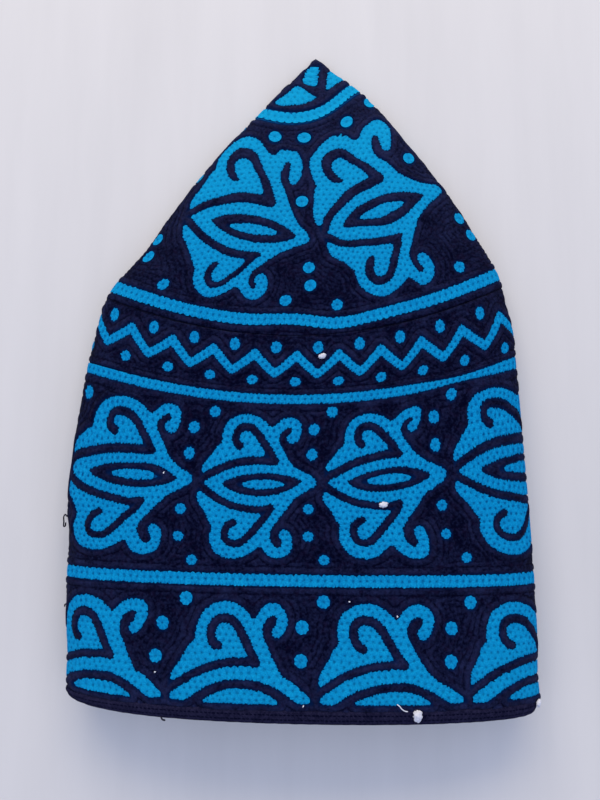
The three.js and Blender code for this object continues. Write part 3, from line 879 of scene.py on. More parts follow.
def lining_rings(low, high, share):
    """Rings of the inner face, a wall's thickness under the plain surface."""
    along = np.linspace(low, high, max(2, round((high - low) / LINING_STEP) + 1))
    turn = turns_at(along, share)
    depth = WALL + 0.2 * ripple(along[:, None], share[None, :], 30, 5)
    points = surface(along[:, None], turn) - outward(along[:, None], turn) * depth[..., None]
    points[..., 2] = np.maximum(points[..., 2], 0.5)
    return along, points


def side_piece(name, cloth, material):
    """A closed wall: the outer grid up the cloth, then the coarser lining back down to its start."""
    coarse = cloth.share[::LINING_COARSER]
    along, lining = lining_rings(cloth.along[0], cloth.along[-1], coarse)
    along, lining = along[::-1], lining[::-1]
    rows, columns = cloth.field.shape
    first = rows * columns
    last = first + (len(along) - 1) * len(coarse)
    top = joining_faces(first - columns, first, len(coarse), LINING_COARSER)
    bottom = joining_faces(0, last, len(coarse), LINING_COARSER)[:, ::-1]
    faces = [grid_faces(0, rows, columns), grid_faces(first, len(along), len(coarse)), top, bottom]
    points = np.vstack([cloth.points.reshape(-1, 3), lining.reshape(-1, 3)])
    place_along = np.concatenate([np.repeat(cloth.along, columns), np.repeat(along, len(coarse))])
    place_share = np.concatenate([np.tile(cloth.share, rows), np.tile(coarse, len(along))])
    inside = lining.shape[0] * lining.shape[1]
    values = {
        "field": np.concatenate([cloth.field.ravel(), np.full(inside, LINING_MARK)]),
        "cord": np.concatenate([cloth.cord.ravel(), np.full(inside, 0.5)]),
    }
    uv = cloth_uv(faces, place_share, place_along)
    return make_object(name, points, faces, material, ["side_band"], values, uv)


def crown_piece(lower, upper, material):
    """The crown's wall, from the closed end of its lining down to the seam and up the outside to the
    tip. The upper part of the outside has half as many columns as the lower."""
    coarse = lower.share[::LINING_COARSER]
    along, lining = lining_rings(SEAM_AT + GAP / 2, LINING_TIP_AT - LINING_STEP / 2, coarse)
    along, lining = along[::-1], lining[::-1]
    rows, columns = lower.field.shape
    upper_rows, upper_columns = upper.field.shape
    pole_y = section([LINING_TIP_AT, TIP_AT])
    height = pole_y[4]
    tips = np.stack([pole_y[1] - SIDE_SHIFT, pole_y[0] - pole_y[5] / 2 + [0, TIP_REACH] - MIDDLE_Y, height / 2], axis=1)
    lining_at = 1
    lower_at = lining_at + len(along) * len(coarse)
    upper_at = lower_at + rows * columns
    end = upper_at + upper_rows * upper_columns
    i = np.arange(len(coarse))
    inner_cap = np.stack([0 * i, lining_at + (i + 1) % len(coarse), lining_at + i], axis=1)
    j = np.arange(upper_columns)
    ring = end - upper_columns
    outer_cap = np.stack([ring + j, ring + (j + 1) % upper_columns, end + 0 * j], axis=1)
    last_lining = lower_at - len(coarse)
    faces = [
        inner_cap,
        grid_faces(lining_at, len(along), len(coarse)),
        joining_faces(lower_at, last_lining, len(coarse), LINING_COARSER)[:, ::-1],
        grid_faces(lower_at, rows, columns),
        joining_faces(upper_at - columns, upper_at, upper_columns, columns // upper_columns),
        grid_faces(upper_at, upper_rows, upper_columns),
        outer_cap,
    ]
    grids = [lining, lower.points, upper.points]
    points = np.vstack([tips[:1]] + [g.reshape(-1, 3) for g in grids] + [tips[1:]])
    shares = [np.tile(s, g.shape[0]) for s, g in zip((coarse, lower.share, upper.share), grids)]
    alongs = [np.repeat(a, g.shape[1]) for a, g in zip((along, lower.along, upper.along), grids)]
    place_share = np.concatenate([[0], *shares, [0]])
    place_along = np.concatenate([[LINING_TIP_AT], *alongs, [TIP_AT + TIP_REACH]])
    inside = 1 + lining.shape[0] * lining.shape[1]
    tip_mark = [RIDGE_HALF]
    values = {
        "field": np.concatenate([np.full(inside, LINING_MARK), lower.field.ravel(), upper.field.ravel(), tip_mark]),
        "cord": np.concatenate([np.full(inside, 0.5), lower.cord.ravel(), upper.cord.ravel(), [0.5]]),
    }
    uv = cloth_uv(faces, place_share, place_along)
    return make_object("crown_cloth", points, faces, material, ["crown"], values, uv)


def hem_binding(material):
    """The bound edge: an oval carried round the opening, drawn in a little by its own stitches."""
    sides, columns = 24, 720
    share = share_columns(columns)
    around = np.arange(sides) / sides * TURN
    middle = (HEM_LOW + HEM_HIGH) / 2
    along = middle - (HEM_HIGH - HEM_LOW) / 2 * np.cos(around)
    turn = turns_at(np.full(1, middle), share)[0]
    flat = np.clip(np.abs(np.sin(around)), 0, 1) ** 0.8 * np.sign(np.sin(around))
    height = -WALL / 2 + (WALL / 2 + HEM_SWELL) * flat
    wave = 0.18 * ripple(along[:, None] * 3, share[None, :], 9, 12)
    rows = sum(np.exp(-((along - at) / 0.5) ** 2) for at in HEM_ROWS)
    stitch = 0.6 + 0.4 * np.cos(TURN * share * perimeter(100) / HEM_STITCH)
    fold = -0.18 * rows[:, None] * (np.sin(around) > 0)[:, None] * stitch[None, :]
    base = surface(along[:, None], turn[None, :])
    normal = outward(along[:, None], turn[None, :])
    pressed = np.clip(1 - base[..., 2] / 4, 0, 1) * np.clip(-normal[..., 2] * 1.5, 0, 1)
    points = base + normal * (height[:, None] + wave + fold - HEM_SWELL * pressed)[..., None]
    points[..., 0] -= HEM_TUCK * np.exp(-((wrapped(share) - 0.25) / 0.03) ** 2)
    points[..., 2] = np.maximum(points[..., 2], 0)
    quads = grid_faces(0, sides, columns)
    closing = ring_faces((sides - 1) * columns, 0, columns)
    faces = [quads, closing]
    place_share = np.tile(share, sides)
    place_along = np.repeat(along, columns)
    uv = cloth_uv(faces, place_share, place_along)
    return make_object("hem_binding", points.reshape(-1, 3), faces, material, ["hem_roll"], {}, uv)


# Lint and loose thread ends on the cloth. Each speck is along, share, length, width and bearing.

SPECKS = [(200, 0.0187, 4.6, 3.2, 0.3), (116, 0.0834, 5, 3.6, 0.2), (5.5, 0.1059, 6.5, 5.4, 1.5), (7, 0.2325, 4.4, 3, 1.3),
          (25, -0.1378, 1.1, 0.8, 0.4), (10.5, 0, 1.3, 0.8, 1), (62, 0.0459, 1, 0.8, 0), (54.5, 0.0909, 1.2, 0.8, 1.6),
          (131.5, -0.1341, 1.4, 0.8, 1.2)]
LINT_SIDES = 12
LINT_RISE = 0.5  # top of the stitches over the plain surface, where loose bits lie
# Threads as along, share, height over the surface, in steps from end to end
PALE_THREAD = [(12, 0.0865, 0.8), (11.2, 0.0885, 1.3), (9.8, 0.0905, 1.4), (8.6, 0.0935, 1.1), (8.2, 0.096, 0.8)]
DARK_THREADS = [
    [(104.5, -0.25, 0.3), (105.5, -0.255, 2.5), (104, -0.258, 5.2), (101, -0.259, 6), (98.4, -0.257, 4.4),
     (98.6, -0.254, 2.2), (100.6, -0.252, 1.4)],
    [(54, -0.25, 0.2), (53.2, -0.254, 1.9), (52, -0.257, 3)],
    [(0.2, -0.137, 0.2), (-0.8, -0.136, 0.9), (-1.6, -0.134, 0.5)],
]


def lint(material):
    """White specks: each a ball pulled to its length and width, with a lumpy radius, sunk a third of
    the way into the cloth."""
    draw = np.random.default_rng(41)
    polar = np.linspace(0, math.pi, LINT_SIDES)[1:-1]
    around = np.arange(LINT_SIDES) / LINT_SIDES * TURN
    p, q = np.meshgrid(polar, around, indexing="ij")
    ball = np.stack([np.cos(p), np.sin(p) * np.cos(q), np.sin(p) * np.sin(q)], axis=-1).reshape(-1, 3)
    ball = np.vstack([[1, 0, 0], ball, [-1, 0, 0]])
    last = len(ball) - 1
    i = np.arange(LINT_SIDES)
    j = (i + 1) % LINT_SIDES
    ends = np.vstack([np.stack([0 * i, 1 + i, 1 + j], axis=1),
                      np.stack([last + 0 * i, last - LINT_SIDES + j, last - LINT_SIDES + i], axis=1)])
    walls = grid_faces(1, len(polar), LINT_SIDES)[:, ::-1]
    points, triangles, quads = [], [], []
    for number, (along, share, length, width, bearing) in enumerate(SPECKS):
        turn = turns_at(np.array([along]), np.array([share]))[0, 0]
        centre = surface(along, turn)
        up = outward(along, turn)
        side = np.cross((0, 1, 0), up)
        side = side / np.linalg.norm(side)
        rise = np.cross(up, side)
        shape = ball * draw.uniform(0.7, 1.15, (len(ball), 1)) * [length / 2, width / 2, width / 3]
        x = shape[:, 0] * math.cos(bearing) - shape[:, 1] * math.sin(bearing)
        y = shape[:, 0] * math.sin(bearing) + shape[:, 1] * math.cos(bearing)
        spot = centre + up * (LINT_RISE + width / 9)
        points.append(spot + x[:, None] * side + y[:, None] * rise + shape[:, 2:] * up)
        triangles.append(ends + number * len(ball))
        quads.append(walls + number * len(ball))
    return make_object("lint", np.vstack(points), [np.vstack(triangles), np.vstack(quads)], material)


def thread_tube(name, paths, radius, material):
    """Round threads: a ring of six points carried along each smooth path, closed by a point at each end."""
    sides = 6
    points, quads, triangles, first = [], [], [], 0
    i = np.arange(sides)
    j = (i + 1) % sides
    for path in paths:
        along, share, height = np.array(path, float).T
        turn = np.array([turns_at(np.array([max(a, 0)]), np.array([s]))[0, 0] for a, s in zip(along, share)])
        knots = surface(along, turn) + outward(along, turn) * (height + LINT_RISE)[:, None]
        knots[:, 2] = np.maximum(knots[:, 2], radius)
        line = smooth_curve(knots)
        ahead = np.gradient(line, axis=0)
        ahead = ahead / np.linalg.norm(ahead, axis=1, keepdims=True)
        across = np.cross(ahead, (0.2, 0.3, 1))
        across = across / np.linalg.norm(across, axis=1, keepdims=True)
        over = np.cross(ahead, across)
        angle = i / sides * TURN
        ring = across[:, None] * np.cos(angle)[:, None] + over[:, None] * np.sin(angle)[:, None]
        tube = (line[:, None] + radius * ring).reshape(-1, 3)
        start, end = first + len(tube), first + len(tube) + 1
        top = first + len(tube) - sides
        quads.append(grid_faces(first, len(line), sides))
        triangles += [np.stack([start + 0 * i, first + j, first + i], axis=1),
                      np.stack([end + 0 * i, top + i, top + j], axis=1)]
        points.append(np.vstack([tube, line[:1] - ahead[:1] * radius, line[-1:] + ahead[-1:] * radius]))
        first += len(points[-1])
    return make_object(name, np.vstack(points), [np.vstack(quads), np.vstack(triangles)], material)


# Eyelets: little wheels of thread round a hole, packed over the turquoise

EYELET_PITCH = 3.8
BAND_PITCH = 3.8
ZIGZAG_PITCH = 3.8
SPOKES = 18
PIT_RADIUS = 0.66
EYELET_REACH = 3.7
OVERLAP = 1.05  # how far past half way a spoke runs towards the next eyelet
LINING_MARK = 60.0  # value of field on the lining, past any distance on the outside
PIT_DEEP, PIT_RIM, SHARED_EDGE, OUTER_EDGE, UNDERSIDE = -0.35, 0.26, 0.22, -0.12, -0.85
RIM_LEFT = 0.22  # shortest part of a spoke outside its pit
TOOTH = 0.22  # how far the thread ends at an outline stand out and back in turn


class FlatChart:
    """Flat millimetre coordinates for a stretch of cloth, and back. The side is a strip and the crown
    a fan round the tip."""

    def __init__(self, crown):
        self.crown = crown
        self.length = perimeter(120)

    def flat(self, along, share):
        if self.crown:
            r, angle = TIP_AT - along, share * CROWN_CHART_ANGLE
            return np.stack([r * np.sin(angle), -r * np.cos(angle)], axis=-1)
        return np.stack(np.broadcast_arrays(share * self.length, along), axis=-1)

    def place(self, point):
        x, y = point[..., 0], point[..., 1]
        if self.crown:
            return TIP_AT - np.hypot(x, y), np.arctan2(x, -y) / CROWN_CHART_ANGLE
        return y, x / self.length


def band_rows(low, high):
    """Eyelets in single file along each band and along the zigzag's legs."""
    rows = []
    for name in BAND_WIDTH:
        middle = band_middle(name, 0.0)
        count = round(perimeter(middle) / BAND_PITCH)
        share = np.arange(count) / count - 0.5
        along = band_middle(name, share)
        if low < middle < high:
            rows.append(np.stack([along, share], axis=1))
    if low < 195 < high:
        share, corner = zigzag_points()
        start = np.stack([corner, share], axis=1)
        end = np.roll(start, -1, axis=0)
        end[-1, 1] += 1
        leg = np.hypot((end[0, 1] - start[0, 1]) * perimeter(195), end[0, 0] - start[0, 0])
        count = round(leg / ZIGZAG_PITCH)
        rows += [start + (end - start) * i / count for i in range(count)]
    return np.vstack(rows) if rows else np.zeros((0, 2))


def settle(samples, weights, seeds, rounds=10):
    """Spreads seeds evenly over weighted sample points: each moves to the middle of the samples that
    are nearest to it, some rounds over. Samples are taken in strips so that the tables stay small."""
    strip = 20.0
    index = np.floor(samples[:, 0] / strip).astype(int)
    for _ in range(rounds):
        total = np.zeros((len(seeds), 3))
        for k in np.unique(index):
            here = np.flatnonzero(index == k)
            near = np.flatnonzero((seeds[:, 0] > k * strip - 10) & (seeds[:, 0] < (k + 1) * strip + 10))
            if not near.size:
                continue
            gap = ((samples[here, None, :] - seeds[None, near, :]) ** 2).sum(axis=-1)
            owner = near[gap.argmin(axis=1)]
            w = weights[here]
            for axis, value in enumerate((w * samples[here, 0], w * samples[here, 1], w)):
                total[:, axis] += np.bincount(owner, value, len(seeds))
        kept = total[:, 2] > 0
        seeds = total[kept, :2] / total[kept, 2:]
    return seeds


def motif_eyelets(cloth, chart):
    """Eyelets spread over the motifs: a triangular lattice laid on the chart, then settled."""
    a, s = np.meshgrid(cloth.along, cloth.share, indexing="ij")
    inside = cloth.field < -0.75
    for name in BAND_WIDTH:
        inside &= band_gap(name, a, s) > 0.3
    inside &= (a < 180) | (a > SEAM_AT)
    for at_along, at_share, radius in DOTS:
        rows = np.flatnonzero(np.abs(cloth.along - at_along) < 4)
        if rows.size:
            block = slice(rows[0], rows[-1] + 1)
            inside[block] &= round_distance(a[block], s[block], at_along, at_share) > radius + 0.4
    if not inside.any():
        return np.zeros((0, 2))
    samples = chart.flat(a[inside], s[inside])
    spread = np.gradient(cloth.share)
    weights = (perimeter(a) * spread[None, :])[inside]
    low, high = samples.min(axis=0), samples.max(axis=0)
    rise = EYELET_PITCH * 0.75 ** 0.5
    y = np.arange(low[1], high[1], rise)
    x = np.arange(low[0], high[0], EYELET_PITCH)
    gx, gy = np.meshgrid(x, y)
    gx = gx + EYELET_PITCH / 2 * (np.arange(len(y)) % 2)[:, None]
    lattice = np.stack([gx.ravel(), gy.ravel()], axis=1)
    la, ls = chart.place(lattice)
    kept = (np.abs(ls) < 0.5) & (la > cloth.along[0]) & (la < cloth.along[-1])
    kept &= cloth.at(np.where(inside, -1.0, 1.0), la, ls) < 0.2
    return np.stack(chart.place(settle(samples, weights, lattice[kept])), axis=1)


def spoke_lengths(cloth, chart, places, angles, draw):
    """How far each spoke reaches: half way to the next eyelet, or to the turquoise's edge, where the
    thread ends stand out unevenly. Also says which spokes end at that edge."""
    centre = chart.flat(places[:, 0], places[:, 1])
    ghosts = [chart.flat(places[:, 0], places[:, 1] + shift) for shift in (0, -1, 1)]
    others = np.vstack(ghosts)
    reach = np.full(angles.shape, EYELET_REACH)
    for start in range(0, len(centre), 256):
        block = slice(start, start + 256)
        step = others[None, :, :] - centre[block, None, :]
        gap = np.hypot(step[..., 0], step[..., 1])
        gap[gap < 1e-6] = 1e6
        nearest = np.argsort(gap, axis=1)[:, :12]
        rows = np.arange(gap.shape[0])[:, None]
        far = gap[rows, nearest]
        bearing = np.arctan2(step[rows, nearest, 1], step[rows, nearest, 0])
        facing = np.cos(bearing[:, None, :] - angles[block][:, :, None])
        half = np.where(facing > 0.05, far[:, None, :] / 2 / np.maximum(facing, 0.05), 1e6)
        reach[block] = np.minimum(reach[block], half.min(axis=-1) * OVERLAP)
    marks = np.linspace(0.3, EYELET_REACH + 0.4, 15)
    ray = np.stack([np.cos(angles), np.sin(angles)], axis=-1)
    along, share = chart.place(centre[:, None, None, :] + ray[:, :, None, :] * marks[:, None])
    field = cloth.at(cloth.field, along, share)
    out = field > -0.05
    first = np.where(out.any(axis=-1), out.argmax(axis=-1), len(marks) - 1)
    edge = marks[first] - 0.5 * (marks[1] - marks[0])
    tooth = TOOTH * np.where(np.arange(SPOKES) % 2 == 0, 1, -1)
    edge = edge + 0.1 + tooth + draw.uniform(-0.28, 0.28, edge.shape)
    outer = edge < reach
    return centre, np.maximum(np.minimum(reach, edge), 3 * RIM_LEFT), outer


def eyelet_piece(name, cloth, crown, material, replaces, seed):
    """All eyelets of a stretch of cloth in one mesh. Each is a wheel of spokes: a pit, its rim and an
    edge that meets the next wheel or ends in teeth, with its underside closed by a point."""
    draw = np.random.default_rng(seed)
    chart = FlatChart(crown)
    low, high = cloth.along[0], cloth.along[-1]
    dots = DOTS[(DOTS[:, 0] > low) & (DOTS[:, 0] < high), :2]
    places = np.vstack([band_rows(low, high), dots, motif_eyelets(cloth, chart)])
    places[:, 1] = wrapped(places[:, 1])
    count = len(places)
    angles = np.arange(SPOKES) / SPOKES * TURN + draw.uniform(0, TURN / SPOKES, (count, 1))
    centre, reach, outer = spoke_lengths(cloth, chart, places, angles, draw)
    spread = draw.uniform(0.75, 1.25, (count, 1)) * draw.uniform(0.85, 1.15, reach.shape)
    pit = np.minimum(PIT_RADIUS * spread, reach - RIM_LEFT)
    rings = [np.zeros((count, 1)), pit, reach, np.zeros((count, 1))]
    edge = np.where(outer, OUTER_EDGE + draw.normal(0, 0.04, reach.shape), SHARED_EDGE)
    lump = draw.normal(0, 0.02, (count, 1))
    heights = [np.full((count, 1), PIT_DEEP), PIT_RIM + lump + 0 * reach, edge, np.full((count, 1), UNDERSIDE)]
    # Ring values pick the thread's colour: the low ones give the pits painted shade
    shades = [0, 0.3, 1, 1]
    radius = np.concatenate(rings, axis=1)
    height = np.concatenate(heights, axis=1)
    bearing = np.concatenate([angles[:, :1], angles, angles, angles[:, :1]], axis=1)
    point = centre[:, None, :] + radius[..., None] * np.stack([np.cos(bearing), np.sin(bearing)], axis=-1)
    along, share = chart.place(point)
    base, normal = cloth.at(cloth.base, along, share), cloth.at(cloth.normal, along, share)
    normal = normal / np.linalg.norm(normal, axis=-1, keepdims=True)
    points = lifted(base, normal, height - given_at(along, share))
    size = points.shape[1]
    k = np.arange(SPOKES)
    n = (k + 1) % SPOKES
    rim, rim2 = 1 + k, 1 + n
    brim, brim2 = 1 + SPOKES + k, 1 + SPOKES + n
    under = np.full(SPOKES, size - 1)
    fans = np.stack([0 * k, rim, rim2], axis=1)
    slopes = np.stack([rim, brim, brim2, rim2], axis=1)
    bottoms = np.stack([under, brim2, brim], axis=1)
    offset = size * np.arange(count)[:, None, None]
    triangles = (np.vstack([fans, bottoms])[None] + offset).reshape(-1, 3)
    quads = (slopes[None] + offset).reshape(-1, 4)
    uv = eyelet_uv(k, count)
    lot = np.repeat(draw.uniform(0, 1, count), size)
    ring_shade = np.concatenate([np.full(r.shape[1], v) for r, v in zip(rings, shades)])
    # Spokes that end at an outline; the material gives these ends painted shade
    fray = np.zeros((count, size))
    fray[:, brim] = outer
    rims = np.zeros((count, size), bool)
    rims[:, brim] = True
    values = {"lot": lot, "reach": np.tile(ring_shade, count), "fray": fray.ravel()}
    points = points.reshape(-1, 3)
    return make_object(name, points, [triangles, quads], material, replaces, values, uv, rims.ravel())


def eyelet_uv(k, count):
    """Spoke number and ring number at every face corner, in the order of the faces."""
    zero, one = k * 1.0, k + 1.0
    half = k + 0.5

    def corners(*pairs):
        return np.stack([np.stack(np.broadcast_arrays(u, float(v)), axis=-1) for u, v in pairs], axis=1)
    fans = corners((half, 0), (zero, 1), (one, 1))
    bottoms = corners((half, 3), (one, 2), (zero, 2))
    slopes = corners((zero, 1), (zero, 2), (one, 2), (one, 1))
    triangles = np.tile(np.vstack([fans, bottoms])[None], (count, 1, 1, 1)).reshape(-1, 2)
    quads = np.tile(slopes[None], (count, 1, 1, 1)).reshape(-1, 2)
    return np.vstack([triangles, quads])


# Materials

def tree(owner):
    """The node tree of a material or group, with a short way to add and link nodes."""
    nodes, links = owner.nodes, owner.links

    def add(kind, **settings):
        node = nodes.new(kind)
        for key, value in settings.items():
            if key in node.bl_rna.properties:
                setattr(node, key, value)
            else:
                socket = node.inputs[key.replace("_", " ")]
                if isinstance(value, bpy.types.NodeSocket):
                    links.new(value, socket)
                else:
                    socket.default_value = value
        return node
    return add, links.new


def new_group(name, inputs, outputs):
    """A shader node group with named inputs and outputs. inputs are (name, kind, value)."""
    group = bpy.data.node_groups.new(name, "ShaderNodeTree")
    for label, kind, value in inputs:
        socket = group.interface.new_socket(name=label, in_out="INPUT", socket_type=kind)
        if value is not None:
            socket.default_value = value
    for label, kind in outputs:
        group.interface.new_socket(name=label, in_out="OUTPUT", socket_type=kind)
    return group


def math_node(add, operation, *values, clamp=False):
    node = add("ShaderNodeMath", operation=operation, use_clamp=clamp)
    for socket, value in zip(node.inputs, values):
        if isinstance(value, bpy.types.NodeSocket):
            node.id_data.links.new(value, socket)
        else:
            socket.default_value = value
    return node.outputs[0]


def ramp(add, fac, *stops):
    """A colour or grey ramp. stops are (position, colour or grey)."""
    node = add("ShaderNodeValToRGB")
    node.id_data.links.new(fac, node.inputs[0])
    elements = node.color_ramp.elements
    while len(elements) < len(stops):
        elements.new(0.5)
    for element, (position, colour) in zip(elements, stops):
        element.position = position
        element.color = (*colour, 1) if isinstance(colour, tuple) else (colour, colour, colour, 1)
    return node.outputs[0]


def mix_colour(add, fac, first, second):
    node = add("ShaderNodeMix", data_type="RGBA")
    for socket, value in ((node.inputs[0], fac), (node.inputs[6], first), (node.inputs[7], second)):
        if isinstance(value, bpy.types.NodeSocket):
            node.id_data.links.new(value, socket)
        elif isinstance(value, tuple):
            socket.default_value = (*value, 1)
        else:
            socket.default_value = value
    return node.outputs[2]


def weave_group():
    """Plain weave: two sets of rounded threads crossing, over and under in turn, with slubs."""
    group = new_group("plain_weave", [("Vector", "NodeSocketVector", None), ("Threads", "NodeSocketFloat", 10.0),
                                      ("Slub", "NodeSocketFloat", 0.3)],
                      [("Height", "NodeSocketFloat"), ("Shade", "NodeSocketFloat")])
    add, link = tree(group)
    inputs = add("NodeGroupInput").outputs
    outputs = add("NodeGroupOutput")
    scaled = add("ShaderNodeVectorMath", operation="SCALE")
    link(inputs["Vector"], scaled.inputs[0])
    link(inputs["Threads"], scaled.inputs["Scale"])
    parts = add("ShaderNodeSeparateXYZ", Vector=scaled.outputs[0])
    noise = add("ShaderNodeTexNoise", Vector=scaled.outputs[0], Scale=0.35, Detail=2.0)
    wobble = math_node(add, "MULTIPLY", noise.outputs["Fac"], inputs["Slub"])
    x = math_node(add, "ADD", parts.outputs["X"], wobble)
    y = math_node(add, "ADD", parts.outputs["Y"], wobble)
    warp = math_node(add, "SINE", math_node(add, "MULTIPLY", x, math.pi))
    weft = math_node(add, "SINE", math_node(add, "MULTIPLY", y, math.pi))
    both = math_node(add, "MULTIPLY", warp, weft)
    height = math_node(add, "MULTIPLY_ADD", both, 0.5, 0.5)
    link(height, outputs.inputs["Height"])
    link(noise.outputs["Fac"], outputs.inputs["Shade"])
    return group


def cord_group():
    """Reads the cord's number and the distance to the turquoise, and gives where a cord's rounded top,
    the far cords, the trench beside the turquoise and the ground under the eyelets are. The cloth paints a highlight on
    the tops, less on the far cords, and a shadow in the trench."""
    group = new_group("cord_profile", [("Cord", "NodeSocketFloat", 0.0), ("Distance", "NodeSocketFloat", 0.0)],
                      [("Top", "NodeSocketFloat"), ("Far", "NodeSocketFloat"), ("Trench", "NodeSocketFloat"),
                       ("Turquoise", "NodeSocketFloat")])
    add, link = tree(group)
    inputs = add("NodeGroupInput").outputs
    outputs = add("NodeGroupOutput")
    phase = math_node(add, "FRACT", inputs["Cord"])
    side = math_node(add, "ABSOLUTE", math_node(add, "MULTIPLY_ADD", phase, 2.0, -1.0))
    top = math_node(add, "SUBTRACT", 1.0, math_node(add, "POWER", side, 2.6), clamp=True)
    far = math_node(add, "SUBTRACT", inputs["Cord"], 1.0, clamp=True)
    trench = math_node(add, "SUBTRACT", 1.0, math_node(add, "DIVIDE", inputs["Distance"], 1.5), clamp=True)
    turquoise = math_node(add, "LESS_THAN", inputs["Distance"], -0.6)
    for label, value in (("Top", top), ("Far", far), ("Trench", trench), ("Turquoise", turquoise)):
        link(value, outputs.inputs[label])
    return group


def place_lightening_group():
    """Lightening by place: the square of the distance up or down the cap from a line near its
    middle, so that the tip and, less so, the hem are lighter."""
    group = new_group("lighter_ends", [("Vector", "NodeSocketVector", None), ("Amount", "NodeSocketFloat", 1.0)],
                      [("Light", "NodeSocketFloat")])
    add, link = tree(group)
    inputs = add("NodeGroupInput").outputs
    outputs = add("NodeGroupOutput")
    up = add("ShaderNodeSeparateXYZ", Vector=inputs["Vector"]).outputs["Y"]
    reach = math_node(add, "DIVIDE", math_node(add, "ADD", up, 0.04), 0.2)
    square = math_node(add, "MULTIPLY", reach, reach, clamp=True)
    link(math_node(add, "MULTIPLY", square, inputs["Amount"]), outputs.inputs["Light"])
    return group


def use_group(add, group, **values):
    node = add("ShaderNodeGroup")
    node.node_tree = group
    for key, value in values.items():
        if isinstance(value, bpy.types.NodeSocket):
            node.id_data.links.new(value, node.inputs[key])
        else:
            node.inputs[key].default_value = value
    return node.outputs


def plain_material(name, roughness, sheen, specular=0.3):
    """A material with its Principled shader's even values set, its own tree and its shader."""
    material = bpy.data.materials.new(name)
    material.use_nodes = True
    shader = material.node_tree.nodes["Principled BSDF"]
    shader.inputs["Roughness"].default_value = roughness
    shader.inputs["Sheen Weight"].default_value = sheen
    shader.inputs["Sheen Roughness"].default_value = 0.5
    shader.inputs["Specular IOR Level"].default_value = specular
    add, link = tree(material.node_tree)
    return material, shader, add, link


def quilted_cloth():
    """Dark navy cloth, mottled all over, with a painted highlight on the stitched cords' rounded tops, painted shade
    near black in the valleys and a painted blue shadow in the trench beside the turquoise."""
    material, shader, add, link = plain_material("quilted_navy", 0.9, 0.025, 0.015)
    uv = add("ShaderNodeUVMap", uv_map="cloth").outputs[0]
    place = add("ShaderNodeTexCoord").outputs["Object"]
    distance = add("ShaderNodeAttribute", attribute_name="field").outputs["Fac"]
    cord = add("ShaderNodeAttribute", attribute_name="cord").outputs["Fac"]
    cords = use_group(add, CORDS, Cord=cord, Distance=distance)
    weave = use_group(add, WEAVE, Vector=uv, Threads=14.0)
    # Lighter towards the tip and, less so, the hem
    lighter_ends = use_group(add, PLACE_LIGHTENING, Vector=place, Amount=0.25)
    patches = add("ShaderNodeTexNoise", Vector=place, Scale=90.0, Detail=4.0, Roughness=0.6).outputs["Fac"]
    grain = add("ShaderNodeTexNoise", Vector=place, Scale=600.0, Detail=3.0, Roughness=0.7).outputs["Fac"]
    tint = add("ShaderNodeTexNoise", Vector=place, Scale=330.0, Detail=2.0).outputs["Fac"]
    # Painted highlight on the cords' rounded tops, patchy and weaker on the far cords; painted shade near black in the
    # valleys between them
    lit = math_node(add, "MULTIPLY", cords["Top"], math_node(add, "MULTIPLY_ADD", patches, 1.6, -0.47))
    lit = math_node(add, "MULTIPLY", lit, math_node(add, "MULTIPLY_ADD", cords["Far"], -0.4, 1.0))
    speckle = math_node(add, "MULTIPLY_ADD", grain, 1.7, -0.87)
    top = math_node(add, "ADD", math_node(add, "ADD", lit, speckle), lighter_ends["Light"], clamp=True)
    navy = mix_colour(add, top, (0.0001, 0.0005, 0.0095), (0.0150, 0.0205, 0.072))
    rosy = ramp(add, tint, (0.5, 0.0), (0.8, 0.5))
    mottled = mix_colour(add, rosy, navy, (0.0090, 0.0050, 0.024))
    # Painted shadow: dark blue in the trench beside the turquoise
    dark = mix_colour(add, cords["Trench"], mottled, (0.0, 0.0085, 0.050))
    colour = mix_colour(add, cords["Turquoise"], dark, (0.0, 0.05, 0.18))
    link(colour, shader.inputs["Base Color"])
    threads = add("ShaderNodeBump", Strength=0.4, Distance=0.0003, Height=weave["Height"])
    fuzz = add("ShaderNodeBump", Strength=0.6, Distance=0.0006, Height=grain, Normal=threads.outputs[0])
    link(fuzz.outputs[0], shader.inputs["Normal"])
    return material


